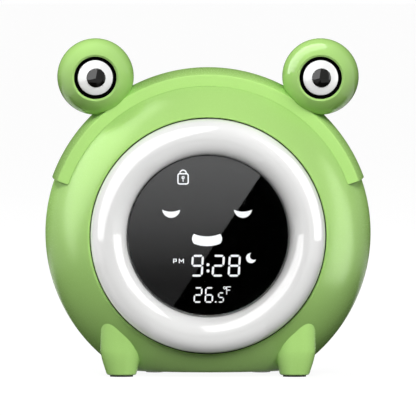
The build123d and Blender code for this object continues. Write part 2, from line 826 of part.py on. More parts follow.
with BuildSketch(symbol_plane) as status_sketch:
    # crescent moon
    with Locations((moon_x, moon_z)):
        Circle(moon_radius)
        with Locations(moon_bite):
            Circle(moon_bite_radius, mode=Mode.SUBTRACT)
    # PM
    noon_top = noon_z + noon_height
    noon_bowl = noon_z + noon_height * 0.42
    stroke((noon_x, noon_z), (noon_x, noon_top), small_stroke)
    for bowl_z in (noon_bowl, noon_top):
        stroke((noon_x, bowl_z), (noon_x + noon_width * 0.6, bowl_z), small_stroke)
    stroke((noon_x + noon_width * 0.65, noon_bowl), (noon_x + noon_width * 0.65, noon_top), small_stroke)
    letter_x = noon_x + noon_step
    stroke((letter_x, noon_z), (letter_x, noon_top), small_stroke)
    stroke((letter_x + noon_width, noon_z), (letter_x + noon_width, noon_top), small_stroke)
    stroke((letter_x, noon_top), (letter_x + noon_width / 2, noon_z + noon_height * 0.35), small_stroke)
    stroke((letter_x + noon_width, noon_top), (letter_x + noon_width / 2, noon_z + noon_height * 0.35),
           small_stroke)

with BuildSketch(symbol_plane) as lock_sketch:
    with Locations((lock_x, lock_z + lock_height / 2 + shackle_rise)):
        Circle(shackle_radius + lock_stroke / 2)
        Circle(shackle_radius - lock_stroke / 2, mode=Mode.SUBTRACT)
    with Locations((lock_x, lock_z)):
        RectangleRounded(lock_width + lock_stroke, lock_height + lock_stroke, lock_corner)
        RectangleRounded(lock_width - lock_stroke, lock_height - lock_stroke, lock_corner - lock_stroke,
                         mode=Mode.SUBTRACT)
    keyhole_z = lock_z + lock_height * 0.12
    stroke((lock_x, keyhole_z), (lock_x, keyhole_z - keyhole_drop + small_stroke), small_stroke)
    with Locations((lock_x, keyhole_z)):
        Circle(keyhole_radius)
        Circle(keyhole_bore, mode=Mode.SUBTRACT)

symbol_groups = (
    ("time_segments", time_sketch.sketch),
    ("temperature_segments", temperature_sketch.sketch),
    ("face_symbols", face_sketch.sketch),
    ("status_symbols", status_sketch.sketch + lock_sketch.sketch),
)
for label, sketch in symbol_groups:
    with BuildPart() as symbols:
        extrude(sketch, amount=-symbol_wall)
    save(symbols, label)

with BuildPart() as display_mask:
    with BuildSketch(symbol_plane):
        Circle(screen_radius - seam_gap)
    extrude(amount=-mask_wall)
    for label, sketch in symbol_groups:
        extrude(sketch, amount=-symbol_wall, mode=Mode.SUBTRACT)
save(display_mask, "display_mask")

# ---- light carrier: collar behind the mask, rim behind the ring's flange, plate with ears and posts ----

display_front_y = display_board_y - board_wall
with BuildPart() as light_carrier:
    with BuildSketch(facing_rear(carrier_y)):
        Circle(carrier_radius)
        with Locations(*polar_spots(carrier_screw_circle, carrier_screw_angles)):
            Circle(carrier_ear_radius)
        Circle(collar_radius - collar_wall, mode=Mode.SUBTRACT)
    extrude(amount=carrier_wall)
    with BuildSketch(facing_rear(-flange_back + seam_gap)):
        Circle(carrier_radius)
        Circle(carrier_radius - carrier_wall, mode=Mode.SUBTRACT)
    extrude(amount=flange_back + carrier_back_y - seam_gap)
    with BuildSketch(facing_rear(mask_back_y)):
        Circle(collar_radius)
        Circle(collar_radius - collar_wall, mode=Mode.SUBTRACT)
    extrude(amount=display_front_y - mask_back_y)
    pillar([plane.offset(carrier_y - display_front_y) for plane in display_joints], display_post_radius,
           display_front_y - carrier_y)
    drill(carrier_seats, carrier_screw.shank_radius + screw_gap, carrier_wall)
    drill(display_joints, board_screw.shank_radius + thread_gap, board_screw.length - board_wall)
save(light_carrier, "light_carrier")

with BuildPart() as ring_board:
    with BuildSketch(facing_front(carrier_y)):
        Circle(carrier_radius - carrier_wall - ring_board_gap)
        Circle(ring_inner_radius, mode=Mode.SUBTRACT)
    extrude(amount=board_wall)
save(ring_board, "ring_board")

with BuildPart() as ring_leds:
    with BuildSketch(facing_front(ring_board_front_y)):
        with PolarLocations(ring_middle, ring_led_count):
            Rectangle(ring_led_size, ring_led_size)
    extrude(amount=ring_led_height)
save(ring_leds, "ring_leds")

with BuildPart() as display_board:
    with BuildSketch(facing_front(display_board_y)):
        Circle(display_board_radius)
        with Locations(*[(-x, z) for x, z in polar_spots(display_post_circle, display_post_angles)]):
            Circle(board_screw.shank_radius + screw_gap, mode=Mode.SUBTRACT)
    extrude(amount=board_wall)
save(display_board, "display_board")

display_led_spots = [(x, time_z) for x, lit in time_digits]
display_led_spots += [(x, temperature_z) for x, lit in temperature_digits]
display_led_spots += [(moon_x, moon_z), (noon_x, noon_z), (lock_x, lock_z), (face_x, mouth_bottom)]
display_led_spots += [(face_x + side * closed_eye_spacing / 2, closed_eye_z) for side in (-1, 1)]
with BuildPart() as display_leds:
    with BuildSketch(facing_front(display_front_y)):
        with Locations(*display_led_spots):
            Rectangle(display_led_size, display_led_size)
    extrude(amount=display_led_height)
save(display_leds, "display_leds")

with BuildPart() as clock_chip:
    with BuildSketch(facing_rear(display_board_y)):
        Rectangle(chip_size, chip_size)
    extrude(amount=chip_height)
save(clock_chip, "clock_chip")

# ---- control board with its switches, and the ribbon between the two boards ----

control_front_y = control_board_y - board_wall
with BuildPart() as control_board:
    with BuildSketch(facing_front(control_board_y)):
        with Locations((-control_board_x, control_board_z)):
            Rectangle(control_board_width, control_board_height)
        with Locations(*[(-x, z) for x, z in control_spots]):
            Circle(board_screw.shank_radius + screw_gap, mode=Mode.SUBTRACT)
    extrude(amount=board_wall)
save(control_board, "control_board")

with BuildPart() as tact_switches:
    with BuildSketch(facing_rear(control_board_y)):
        with Locations(*button_spots):
            Rectangle(switch_size, switch_size)
    extrude(amount=switch_height - plunger_height)
    plunger_base = facing_rear(control_board_y + switch_height - plunger_height)
    pillar(spots_on(plunger_base, button_spots), stem_radius, plunger_height)
save(tact_switches, "tact_switches")

header_planes = (facing_rear(display_board_y), facing_front(control_front_y))
with BuildPart() as ribbon_headers:
    for plane, header_x in zip(header_planes, (ribbon_x, -ribbon_x)):
        with BuildSketch(plane):
            with Locations((header_x, ribbon_z)):
                Rectangle(ribbon_width + header_height, header_height)
        extrude(amount=header_depth)
save(ribbon_headers, "ribbon_headers")

ribbon_height = body_height + ribbon_z
with BuildPart() as ribbon_cable:
    with BuildSketch(Plane.YZ.offset(-ribbon_x)):
        with BuildLine():
            ribbon_start = display_board_y + header_depth
            ribbon_end = control_front_y - header_depth
            ThreePointArc((ribbon_start, ribbon_height),
                          ((ribbon_start + ribbon_end) / 2, ribbon_height + ribbon_bow),
                          (ribbon_end, ribbon_height))
        trace(line_width=ribbon_wall)
    extrude(amount=ribbon_width / 2, both=True)
    for cut_y, keep in ((ribbon_start, Keep.BOTTOM), (ribbon_end, Keep.TOP)):
        split(bisect_by=facing_front(cut_y), keep=keep)
save(ribbon_cable, "ribbon_cable")

# ---- rear buttons: cap, retaining flange and stem ----

flange_inner_y = panel_inner_y - button_rest_gap - button_flange_wall
for name, spot in zip(button_names, button_spots):
    with BuildPart() as button:
        flange_plane = spots_on(facing_rear(flange_inner_y), [spot])
        pillar(flange_plane, button_radius + button_flange, button_flange_wall)
        pillar(flange_plane, button_radius, panel_y + button_rise - flange_inner_y)
        fillet(button.edges().sort_by(Axis.Y)[-1], button_edge)
        pillar([plane.offset(stem_end_y - flange_inner_y) for plane in flange_plane], stem_radius,
               flange_inner_y - stem_end_y)
    save(button, f"{name}_button")

# ---- battery door, its screw, the cells and their contacts ----

door_screw_seat_y = panel_y - door_screw_size.head_height
with BuildPart() as battery_door:
    with BuildSketch(facing_rear(door_inner_y)):
        with Locations((bay_x, bay_z)):
            RectangleRounded(door_width - 2 * door_gap, door_height - 2 * door_gap, door_corner)
        with Locations(door_screw_spot):
            Circle(door_tab_radius - door_gap)
    extrude(amount=door_wall)
    door_seat = spots_on(facing_rear(door_screw_seat_y), [door_screw_spot])
    drill([plane.offset(door_wall) for plane in door_seat],
          door_screw_size.head_radius + thread_gap, door_wall)
    drill(door_seat, door_screw_size.shank_radius + screw_gap, door_wall)
    with BuildSketch(facing_rear(panel_y)):
        with Locations((bay_x, bay_z - door_height / 2 + 2 * door_corner)):
            with GridLocations(0, grip_pitch, 1, grip_count):
                SlotOverall(grip_length, grip_width)
    extrude(amount=-grip_depth, mode=Mode.SUBTRACT)
save(battery_door, "battery_door")

with BuildPart() as door_screw:
    add_screws(door_seat, door_screw_size)
save(door_screw, "door_screw")

cell_starts = []
for index in range(cell_count):
    cell_side = 1 if index % 2 == 0 else -1
    cell_z = body_height + bay_z + (index - (cell_count - 1) / 2) * cell_pitch
    wall_x = bay_x - cell_side * bay_length / 2
    cell_starts.append((wall_x, cell_z, cell_side))

for index, (wall_x, cell_z, cell_side) in enumerate(cell_starts):
    cell_x = wall_x + cell_side * (contact_wall + spring_length + cell_gap)
    cell_plane = Plane(origin=(cell_x, cell_y, cell_z), x_dir=(0, 1, 0), z_dir=(cell_side, 0, 0))
    with BuildPart() as cell:
        pillar([cell_plane], cell_radius, cell_body_length)
        fillet(cell.edges().filter_by(GeomType.CIRCLE), cell_gap)
        pillar([cell_plane], cell_nub_radius, cell_length)
    save(cell, f"cell_{index + 1}")

coil_height = spring_length - 2 * spring_wire_radius
with BuildPart() as battery_springs:
    for wall_x, cell_z, cell_side in cell_starts:
        coil_start = (wall_x + cell_side * (contact_wall + spring_wire_radius), cell_y, cell_z)
        with BuildLine() as coil:
            Helix(coil_height / spring_turns, coil_height, spring_radius, center=coil_start,
                  direction=(cell_side, 0, 0))
        with BuildSketch(Plane(origin=coil.line @ 0, z_dir=coil.line % 0)):
            Circle(spring_wire_radius)
        sweep(path=coil.line, is_frenet=True)
save(battery_springs, "battery_springs")

with BuildPart() as contact_plates:
    for wall_x, cell_z, cell_side in cell_starts:
        for plate_x in (wall_x + cell_side * contact_wall / 2,
                        wall_x + cell_side * (bay_length - contact_wall / 2)):
            with Locations((plate_x, cell_y, cell_z)):
                Box(contact_wall, contact_size, contact_size)
save(contact_plates, "contact_plates")

# ---- speaker behind the grille ----

speaker_plane = spots_on(facing_rear(panel_inner_y), [(speaker_x, speaker_z)])[0]
speaker_profile = Plane(origin=speaker_plane.origin, x_dir=(1, 0, 0), z_dir=(0, 0, -1))
speaker_axis = Axis(speaker_plane.origin, (0, -1, 0))
basket_depth = speaker_rim + speaker_depth
with BuildPart() as speaker_frame:
    with BuildSketch(speaker_profile):
        with BuildLine():
            Polyline((speaker_radius, 0), (speaker_radius, speaker_rim), (magnet_radius, basket_depth),
                     (magnet_radius / 2, basket_depth), (magnet_radius / 2, basket_depth - cone_wall),
                     (magnet_radius - cone_wall, basket_depth - cone_wall),
                     (speaker_radius - speaker_rim, cone_wall * 2), (speaker_radius - speaker_rim, 0),
                     close=True)
        make_face()
    revolve(axis=speaker_axis)
save(speaker_frame, "speaker_frame")

with BuildPart() as speaker_cone:
    with BuildSketch(speaker_profile):
        with BuildLine():
            cone_edge = speaker_radius - speaker_rim - seam_gap
            cone_neck = magnet_radius / 2
            Polyline((cone_edge, cone_lift), (cone_edge, cone_lift + cone_wall),
                     (cone_neck, speaker_depth), (0, speaker_depth), (0, speaker_depth - cone_wall),
                     (cone_neck, speaker_depth - cone_wall), close=True)
        make_face()
    revolve(axis=speaker_axis)
save(speaker_cone, "speaker_cone")

with BuildPart() as speaker_magnet:
    pillar([speaker_plane.offset(-basket_depth - magnet_height)], magnet_radius, magnet_height)
save(speaker_magnet, "speaker_magnet")

# ---- USB inlet and its board ----

usb_mouth_y = panel_y - seam_gap
with BuildPart() as usb_socket:
    with BuildSketch(facing_rear(usb_mouth_y)):
        with Locations((0, usb_z)):
            RectangleRounded(usb_width, usb_height, usb_height / 2 - usb_wall / 2)
    extrude(amount=-usb_depth)
    with BuildSketch(facing_rear(usb_mouth_y)):
        with Locations((0, usb_z)):
            RectangleRounded(usb_width - 2 * usb_wall, usb_height - 2 * usb_wall,
                             usb_height / 2 - usb_wall * 1.5)
    extrude(amount=-(usb_depth - usb_wall), mode=Mode.SUBTRACT)
    with BuildSketch(facing_rear(usb_mouth_y - usb_depth + usb_wall)):
        with Locations((0, usb_z)):
            Rectangle(usb_width - usb_height, 2 * usb_wall)
    extrude(amount=usb_depth * 0.7)
save(usb_socket, "usb_socket")

with BuildPart() as usb_board:
    with BuildSketch(facing_rear(panel_inner_y - seam_gap)):
        with Locations((0, board_z + board_wall / 2)):
            Rectangle(usb_board_width, board_wall)
    extrude(amount=-(usb_board_depth - seam_gap))
save(usb_board, "usb_board")

# ---- rubber pads ----

with BuildPart() as front_pads:
    with BuildSketch():
        with Locations(*[(side * (leg_spacing / 2 - leg_tip_shift), leg_y) for side in (-1, 1)]):
            Ellipse(front_pad_half_width, front_pad_half_depth)
    extrude(amount=front_pad_height)
save(front_pads, "front_pads")

with BuildPart() as rear_pads:
    with BuildSketch():
        with Locations((-rear_pad_spacing / 2, rear_pad_y), (rear_pad_spacing / 2, rear_pad_y)):
            Circle(rear_pad_radius)
    extrude(amount=flat_height)
save(rear_pads, "rear_pads")

# ---- screws ----

with BuildPart() as case_screws:
    add_screws(case_seats, case_screw)
save(case_screws, "case_screws")

with BuildPart() as carrier_screws:
    add_screws(carrier_seats, carrier_screw)
save(carrier_screws, "carrier_screws")

with BuildPart() as board_screws:
    add_screws(display_seats, board_screw)
    add_screws([Plane(origin=plane.origin + Vector(0, -board_wall, 0), x_dir=(1, 0, 0), z_dir=(0, -1, 0))
                for plane in control_posts], board_screw)
save(board_screws, "board_screws")

with BuildPart() as hood_screws:
    add_screws(peg_ends, hood_screw)
save(hood_screws, "hood_screws")

with BuildPart() as eye_screws:
    add_screws(eye_screw_spots, eye_screw)
save(eye_screws, "eye_screws")
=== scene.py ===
import json
import math

import bmesh
import bpy
import numpy as np
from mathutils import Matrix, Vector

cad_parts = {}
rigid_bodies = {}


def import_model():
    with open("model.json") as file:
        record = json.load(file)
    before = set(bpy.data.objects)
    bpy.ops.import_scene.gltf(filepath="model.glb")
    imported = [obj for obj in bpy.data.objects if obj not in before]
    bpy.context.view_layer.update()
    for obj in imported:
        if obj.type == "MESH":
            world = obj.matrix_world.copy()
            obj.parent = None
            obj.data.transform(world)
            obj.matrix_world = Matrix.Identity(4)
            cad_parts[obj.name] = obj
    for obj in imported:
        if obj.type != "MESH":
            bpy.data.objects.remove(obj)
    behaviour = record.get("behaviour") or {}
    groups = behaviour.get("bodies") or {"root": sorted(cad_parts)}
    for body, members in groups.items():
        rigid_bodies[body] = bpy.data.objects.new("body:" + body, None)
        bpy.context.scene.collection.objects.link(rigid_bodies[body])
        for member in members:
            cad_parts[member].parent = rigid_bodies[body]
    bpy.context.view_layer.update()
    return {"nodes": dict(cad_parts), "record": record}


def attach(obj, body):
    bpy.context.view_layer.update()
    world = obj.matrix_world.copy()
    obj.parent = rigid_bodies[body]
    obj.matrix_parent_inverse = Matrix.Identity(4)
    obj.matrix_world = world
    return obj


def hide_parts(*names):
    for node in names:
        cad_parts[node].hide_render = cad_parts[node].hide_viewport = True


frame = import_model()
nodes = frame["nodes"]
scene = bpy.context.scene
mm = 0.001
weldDistance = 2e-7
# the range that most of a noise's values fall in
noiseSpread = (0.3, 0.7)
# noise scale of the slow drift in a plastic's colour
colourDrift = 40
print("frame loaded:", len(nodes), "nodes")


def srgb(red, green, blue):
    # display values 0 to 255 turned into linear ones
    values = np.array([red, green, blue]) / 255
    linear = np.where(values <= 0.04045, values / 12.92, ((values + 0.055) / 1.055) ** 2.4)
    return (*(float(v) for v in linear), 1.0)


class Shader:
    # a small node tree built around one Principled shader
    def __init__(self, name):
        self.material = bpy.data.materials.new(name)
        self.material.use_nodes = True
        self.tree = self.material.node_tree
        self.surface = self.tree.nodes["Principled BSDF"]
        self.place = self.add("ShaderNodeTexCoord").outputs["Object"]

    def add(self, kind, **values):
        node = self.tree.nodes.new(kind)
        for key, value in values.items():
            if key in node.inputs:
                node.inputs[key].default_value = value
            else:
                setattr(node, key, value)
        return node

    def link(self, source, target):
        self.tree.links.new(source, target)

    def noise(self, scale, detail=2.0):
        texture = self.add("ShaderNodeTexNoise", Scale=scale, Detail=detail)
        self.link(self.place, texture.inputs["Vector"])
        return texture.outputs["Fac"]

    def between(self, factor, low, high):
        span = self.add("ShaderNodeMapRange")
        self.link(factor, span.inputs["Value"])
        for key, value in zip(("From Min", "From Max", "To Min", "To Max"), (*noiseSpread, low, high)):
            span.inputs[key].default_value = value
        return span.outputs["Result"]

    def tint(self, factor, dark, light):
        ramp = self.add("ShaderNodeValToRGB")
        self.link(factor, ramp.inputs["Fac"])
        for stop, position, colour in zip(ramp.color_ramp.elements, noiseSpread, (dark, light)):
            stop.position = position
            stop.color = colour
        self.link(ramp.outputs["Color"], self.surface.inputs["Base Color"])

    def bump(self, height, distance):
        relief = self.add("ShaderNodeBump", Distance=distance)
        self.link(height, relief.inputs["Height"])
        self.link(relief.outputs["Normal"], self.surface.inputs["Normal"])

    def settle(self, **values):
        for key, value in values.items():
            self.surface.inputs[key.replace("_", " ")].default_value = value


def shade(colour, factor):
    return (*(c * factor for c in colour[:3]), 1.0)


def mouldedPlastic(name, finish):
    # base colour with a slow drift, fine moulded grain in roughness and bump
    shader = Shader(name)
    colour = finish["colour"]
    shader.tint(shader.noise(colourDrift, 3), shade(colour, 1 - finish["vary"]),
                shade(colour, 1 + finish["vary"]))
    grain = shader.noise(finish["grain"], 3)
    low, high = finish["roughness"]
    shader.link(shader.between(grain, low, high), shader.surface.inputs["Roughness"])
    shader.bump(grain, finish["relief"] * mm)
    shader.settle(**finish["sockets"])
    return shader.material


bodyGreen = srgb(173, 218, 124)
# colour and how far it varies, noise scale of the grain, height of its relief in millimetres, range of
# the roughness, values of other sockets
finishes = {
    "green_plastic": {"colour": bodyGreen, "vary": 0.012, "grain": 2600, "relief": 0.004,
                      "roughness": (0.24, 0.29), "sockets": {"Specular_IOR_Level": 0.2}},
    "ring_plastic": {"colour": srgb(245, 245, 244), "vary": 0.006, "grain": 1800, "relief": 0.002,
                     "roughness": (0.03, 0.045), "sockets": {"Specular_IOR_Level": 0.5}},
    "eye_white": {"colour": srgb(250, 250, 250), "vary": 0.006, "grain": 1500, "relief": 0.002,
                  "roughness": (0.12, 0.16), "sockets": {}},
    # near black and without gloss: painted shade of the recess round each eye's white
    "eye_black": {"colour": srgb(7, 7, 7), "vary": 0.05, "grain": 2400, "relief": 0.004,
                  "roughness": (0.55, 0.65), "sockets": {"Specular_IOR_Level": 0.0}},
    "pupil_black": {"colour": srgb(14, 13, 12), "vary": 0.02, "grain": 1500, "relief": 0.001,
                    "roughness": (0.03, 0.04), "sockets": {"Specular_IOR_Level": 0.26}},
    "mask_film": {"colour": srgb(6, 6, 6), "vary": 0.05, "grain": 3000, "relief": 0.002,
                  "roughness": (0.7, 0.8), "sockets": {"Specular_IOR_Level": 0.0}},
    "inner_plastic": {"colour": srgb(226, 226, 222), "vary": 0.01, "grain": 2000, "relief": 0.003,
                      "roughness": (0.4, 0.5), "sockets": {}},
    "button_plastic": {"colour": srgb(216, 228, 203), "vary": 0.01, "grain": 2600, "relief": 0.004,
                       "roughness": (0.35, 0.42), "sockets": {}},
    "circuit_board": {"colour": srgb(30, 92, 52), "vary": 0.06, "grain": 900, "relief": 0.004,
                      "roughness": (0.3, 0.4), "sockets": {}},
    "led_body": {"colour": srgb(244, 232, 176), "vary": 0.03, "grain": 1200, "relief": 0.002,
                 "roughness": (0.2, 0.3), "sockets": {}},
    "black_parts": {"colour": srgb(26, 26, 27), "vary": 0.06, "grain": 2400, "relief": 0.005,
                    "roughness": (0.4, 0.5), "sockets": {}},
    "rubber_pad": {"colour": srgb(38, 34, 34), "vary": 0.08, "grain": 3200, "relief": 0.01,
                   "roughness": (0.75, 0.9), "sockets": {"Specular_IOR_Level": 0.25}},
    "screw_steel": {"colour": srgb(178, 180, 182), "vary": 0.03, "grain": 1600, "relief": 0.004,
                    "roughness": (0.26, 0.36), "sockets": {"Metallic": 1.0}},
    "contact_steel": {"colour": srgb(205, 206, 204), "vary": 0.03, "grain": 1400, "relief": 0.003,
                      "roughness": (0.16, 0.24), "sockets": {"Metallic": 1.0}},
    "cell_jacket": {"colour": srgb(58, 62, 70), "vary": 0.05, "grain": 1500, "relief": 0.002,
                    "roughness": (0.28, 0.34), "sockets": {}},
    "speaker_paper": {"colour": srgb(34, 33, 33), "vary": 0.12, "grain": 1300, "relief": 0.03,
                      "roughness": (0.8, 0.95), "sockets": {}},
    "ribbon": {"colour": srgb(176, 178, 180), "vary": 0.04, "grain": 1500, "relief": 0.006,
               "roughness": (0.4, 0.5), "sockets": {}},
    "icon_ink": {"colour": srgb(92, 118, 70), "vary": 0.04, "grain": 3000, "relief": 0.003,
                 "roughness": (0.5, 0.6), "sockets": {}},
    "eye_green": {"colour": bodyGreen, "vary": 0.01, "grain": 2200, "relief": 0.001,
                  "roughness": (0.07, 0.09), "sockets": {"Specular_IOR_Level": 0.2}}}
materials = {slot: mouldedPlastic(slot + "_look", finish) for slot, finish in finishes.items()}

symbolLook = Shader("lit_symbols_look")
symbolLook.tint(symbolLook.noise(600), srgb(236, 238, 240), srgb(255, 255, 255))
symbolLook.settle(Emission_Color=(1, 1, 1, 1), Emission_Strength=1.4, Roughness=0.5)
materials["lit_symbols"] = symbolLook.material

glassLook = Shader("screen_glass_look")
smudge = glassLook.noise(90, 4)
glassLook.link(glassLook.between(smudge, 0.012, 0.02), glassLook.surface.inputs["Roughness"])
glassLook.settle(Base_Color=srgb(200, 202, 204), Transmission_Weight=1.0, IOR=1.6)
materials["screen_glass"] = glassLook.material

slots = {}
for part in frame["record"]["subparts"]:
    piece = nodes[part["node"]]
    slots[part["node"]] = part["material_slot"]
    piece.data.materials.clear()
    piece.data.materials.append(materials[part["material_slot"]])
print("materials on", len(nodes), "nodes")


def gridQuads(rows, columns, loopRows=False, loopColumns=False):
    # four-sided faces of a grid of points, joined end to end where it loops
    row, column = np.meshgrid(np.arange(rows if loopRows else rows - 1),
                              np.arange(columns if loopColumns else columns - 1), indexing="ij")
    nextRow, nextColumn = (row + 1) % rows, (column + 1) % columns
    corners = (row * columns + column, row * columns + nextColumn,
               nextRow * columns + nextColumn, nextRow * columns + column)
    return np.stack(corners, axis=-1).reshape(-1, 4)


def makePiece(name, points, faces, node, body="case", sharp=40, look=None, hides=True):
    # points in millimetres to a closed, smooth-shaded mesh at the origin that rides on a body; it stands
    # for the node, or where it hides nothing, it is an addition to it
    mesh = bpy.data.meshes.new(name)
    mesh.from_pydata((np.asarray(points).reshape(-1, 3) * mm).tolist(), [], [list(f) for f in faces])
    shape = bmesh.new()
    shape.from_mesh(mesh)
    bmesh.ops.remove_doubles(shape, verts=shape.verts, dist=weldDistance)
    bmesh.ops.recalc_face_normals(shape, faces=shape.faces)
    shape.to_mesh(mesh)
    shape.free()
    mesh.shade_smooth()
    mesh.set_sharp_from_angle(angle=math.radians(sharp))
    mesh.materials.append(materials[look or slots[node]])
    piece = bpy.data.objects.new(name, mesh)
    scene.collection.objects.link(piece)
    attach(piece, body)
    if hides:
        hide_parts(node)
    return piece


def roundCorners(outline, radii, steps=8):
    # each corner of a closed outline swapped for an arc that touches its two sides
    rounded = []
    count = len(outline)
    for index, (corner, radius) in enumerate(zip(outline, radii)):
        if radius == 0:
            rounded.append([corner])
            continue
        toLast = np.subtract(outline[index - 1], corner)
        toNext = np.subtract(outline[(index + 1) % count], corner)
        toLast = toLast / np.hypot(*toLast)
        toNext = toNext / np.hypot(*toNext)
        half = math.acos(np.clip(toLast @ toNext, -1, 1)) / 2
        middle = toLast + toNext
        centre = np.asarray(corner) + middle / np.hypot(*middle) * radius / math.sin(half)
        first = np.asarray(corner) + toLast * radius / math.tan(half) - centre
        turn = math.copysign(math.pi - 2 * half, -first[0] * toLast[1] + first[1] * toLast[0])
        angle = np.linspace(0, turn, steps + 1)
        rounded.append(centre + np.stack([first[0] * np.cos(angle) - first[1] * np.sin(angle),
                                          first[0] * np.sin(angle) + first[1] * np.cos(angle)], axis=1))
    return np.vstack(rounded)


def turned(outline, centre, steps):
    # closed outline of radius and depth carried round an axis that runs along Y through the centre
    angle = np.linspace(0, 2 * math.pi, steps, endpoint=False)
    radius, depth = np.asarray(outline, float).T
    points = np.empty((len(radius), steps, 3))
    points[..., 0] = centre[0] + radius[:, None] * np.cos(angle)
    points[..., 1] = depth[:, None]
    points[..., 2] = centre[1] + radius[:, None] * np.sin(angle)
    return points, gridQuads(len(radius), steps, True, True)


def softFloor(height, level, softness):
    # larger of height and level, blended where they meet: mean of both plus half the root of their
    # squared difference and four times the squared softness
    gap = height - level
    return level + (gap + np.sqrt(gap ** 2 + 4 * softness ** 2)) / 2


body = {"centre": (0, 59.0), "radius": 67.75, "depth": 36.0, "wall": 2.2, "opening": 49.1, "lip": 0.7,
        "lipMargin": 1.6, "level": 1.75, "softness": 0.35, "seam": 0.35, "firstAngle": 0.012,
        "stations": 96, "innerStations": 24, "steps": 384}


def frontBody(size):
    # outer ellipse, rounded lip, straight bore and inner ellipse as one closed outline, turned about
    # the body's axis; heights below the flat underside are lifted to it
    radius, depth = size["radius"], size["depth"]
    lastAngle = math.acos((size["opening"] + size["lipMargin"]) / radius)
    along = np.linspace(size["firstAngle"], lastAngle, size["stations"])
    outer = np.stack([radius * np.cos(along), -depth * np.sin(along)], axis=1)
    lipDepth = -depth * math.sqrt(1 - (size["opening"] / radius) ** 2)
    innerRadius, innerDepth = radius - size["wall"], depth - size["wall"]
    boreShare = (size["opening"] + size["wall"]) / innerRadius
    boreEnd = -innerDepth * math.sqrt(1 - boreShare ** 2)
    back = np.linspace(math.acos(boreShare), 0, size["innerStations"])
    inner = np.stack([innerRadius * np.cos(back), -innerDepth * np.sin(back)], axis=1)
    outline = [(radius, 0), *outer, (size["opening"], lipDepth), (size["opening"], boreEnd), *inner]
    rounding = [size["seam"]] + [0] * len(outer) + [size["lip"], 0] + [0] * len(inner)
    outline = roundCorners([tuple(p) for p in outline], rounding)
    points, faces = turned(outline, size["centre"], size["steps"])
    outside = len(outline) - len(inner)
    points[:outside, :, 2] = softFloor(points[:outside, :, 2], size["level"], size["softness"])
    points[outside:, :, 2] = np.maximum(points[outside:, :, 2], size["level"] + size["wall"])
    return points, faces


makePiece("bodyFront", *frontBody(body), "front_shell")

leg = {"spacing": 72.6, "y": -16.0, "halfWidth": 8.4, "halfDepth": 5.6, "corner": (7.0, 5.6), "foot": 0.7,
       "taperHeight": 10.5, "shift": 0.35, "top": 26.0, "fillet": 0.6,
       "taper": ((0, 0.72), (0.35, 0.84), (0.7, 0.945), (1, 1)), "clear": 49.6, "rollSteps": 7,
       "taperSteps": 24, "straightSteps": 26}


def roundedSection(halfWidth, halfDepth, corner, steps=14):
    # rectangle with elliptic corners as one loop of points: four arcs about the inner corners
    angle = np.linspace(0, math.pi / 2, steps)
    quarters = []
    for turn, (sideX, sideY) in enumerate(((1, 1), (-1, 1), (-1, -1), (1, -1))):
        swing = angle + turn * math.pi / 2
        quarters.append(np.stack([sideX * (halfWidth - corner[0]) + corner[0] * np.cos(swing),
                                  sideY * (halfDepth - corner[1]) + corner[1] * np.sin(swing)], axis=1))
    return np.vstack(quarters)


def legSurface(size, side):
    # rounded section carried upward: its scale follows a cubic through the taper's steps, the foot's
    # edge is a quarter round, and points that would reach the ring's bore are pushed out to clear it
    shares, scales = np.array(size["taper"]).T
    cubic = np.polyfit(shares, scales, 3)
    roll = np.linspace(0, math.pi / 2, size["rollSteps"])
    inset = np.concatenate([[size["halfWidth"]], size["fillet"] * (1 - np.sin(roll))])
    lift = np.concatenate([[0], size["fillet"] * (1 - np.cos(roll))])
    taperEnd, top = size["taperHeight"] - size["foot"], size["top"] - size["foot"]
    rise = np.linspace(size["fillet"], taperEnd, size["taperSteps"])[1:]
    straight = np.linspace(taperEnd, top, size["straightSteps"])[1:]
    lift = np.concatenate([lift, rise, straight, [straight[-1]]])
    inset = np.concatenate([inset, np.zeros(len(rise) + len(straight)), [size["halfWidth"]]])
    share = np.clip(lift / taperEnd, 0, 1)
    scale = np.polyval(cubic, share)
    rows = []
    for height, drawn, factor, way in zip(lift, inset, scale, share):
        section = roundedSection(size["halfWidth"] * factor, size["halfDepth"] * factor,
                                 np.array(size["corner"]) * factor)
        reach = np.hypot(*section.T)[:, None]
        section = section * np.maximum(0, reach - drawn) / reach
        middle = side * (size["spacing"] / 2 - size["shift"] * (1 - way))
        rows.append(np.column_stack([section[:, 0] + middle, section[:, 1] + size["y"],
                                     np.full(len(section), size["foot"] + height)]))
    points = np.array(rows)
    fromAxis = points[..., (0, 2)] - np.array(body["centre"])
    stretch = np.maximum(1, size["clear"] / np.linalg.norm(fromAxis, axis=-1))
    points[..., (0, 2)] = np.array(body["centre"]) + fromAxis * stretch[..., None]
    return points, gridQuads(points.shape[0], points.shape[1], False, True)


for side, label in ((-1, "Left"), (1, "Right")):
    makePiece("leg" + label, *legSurface(leg, side), "front_shell")
print("body front and legs")

hood = {"frontY": 14.9, "crease": 66.495, "crest": 68.95, "start": 19.5, "fillet": 0.7, "endRound": 0.4,
        "clear": 0.1, "rearDepth": 44.43, "core": 3.2, "coreReach": 2.6, "stations": 41, "edgeSkip": 3,
        "rollSteps": 6, "steps": 200}


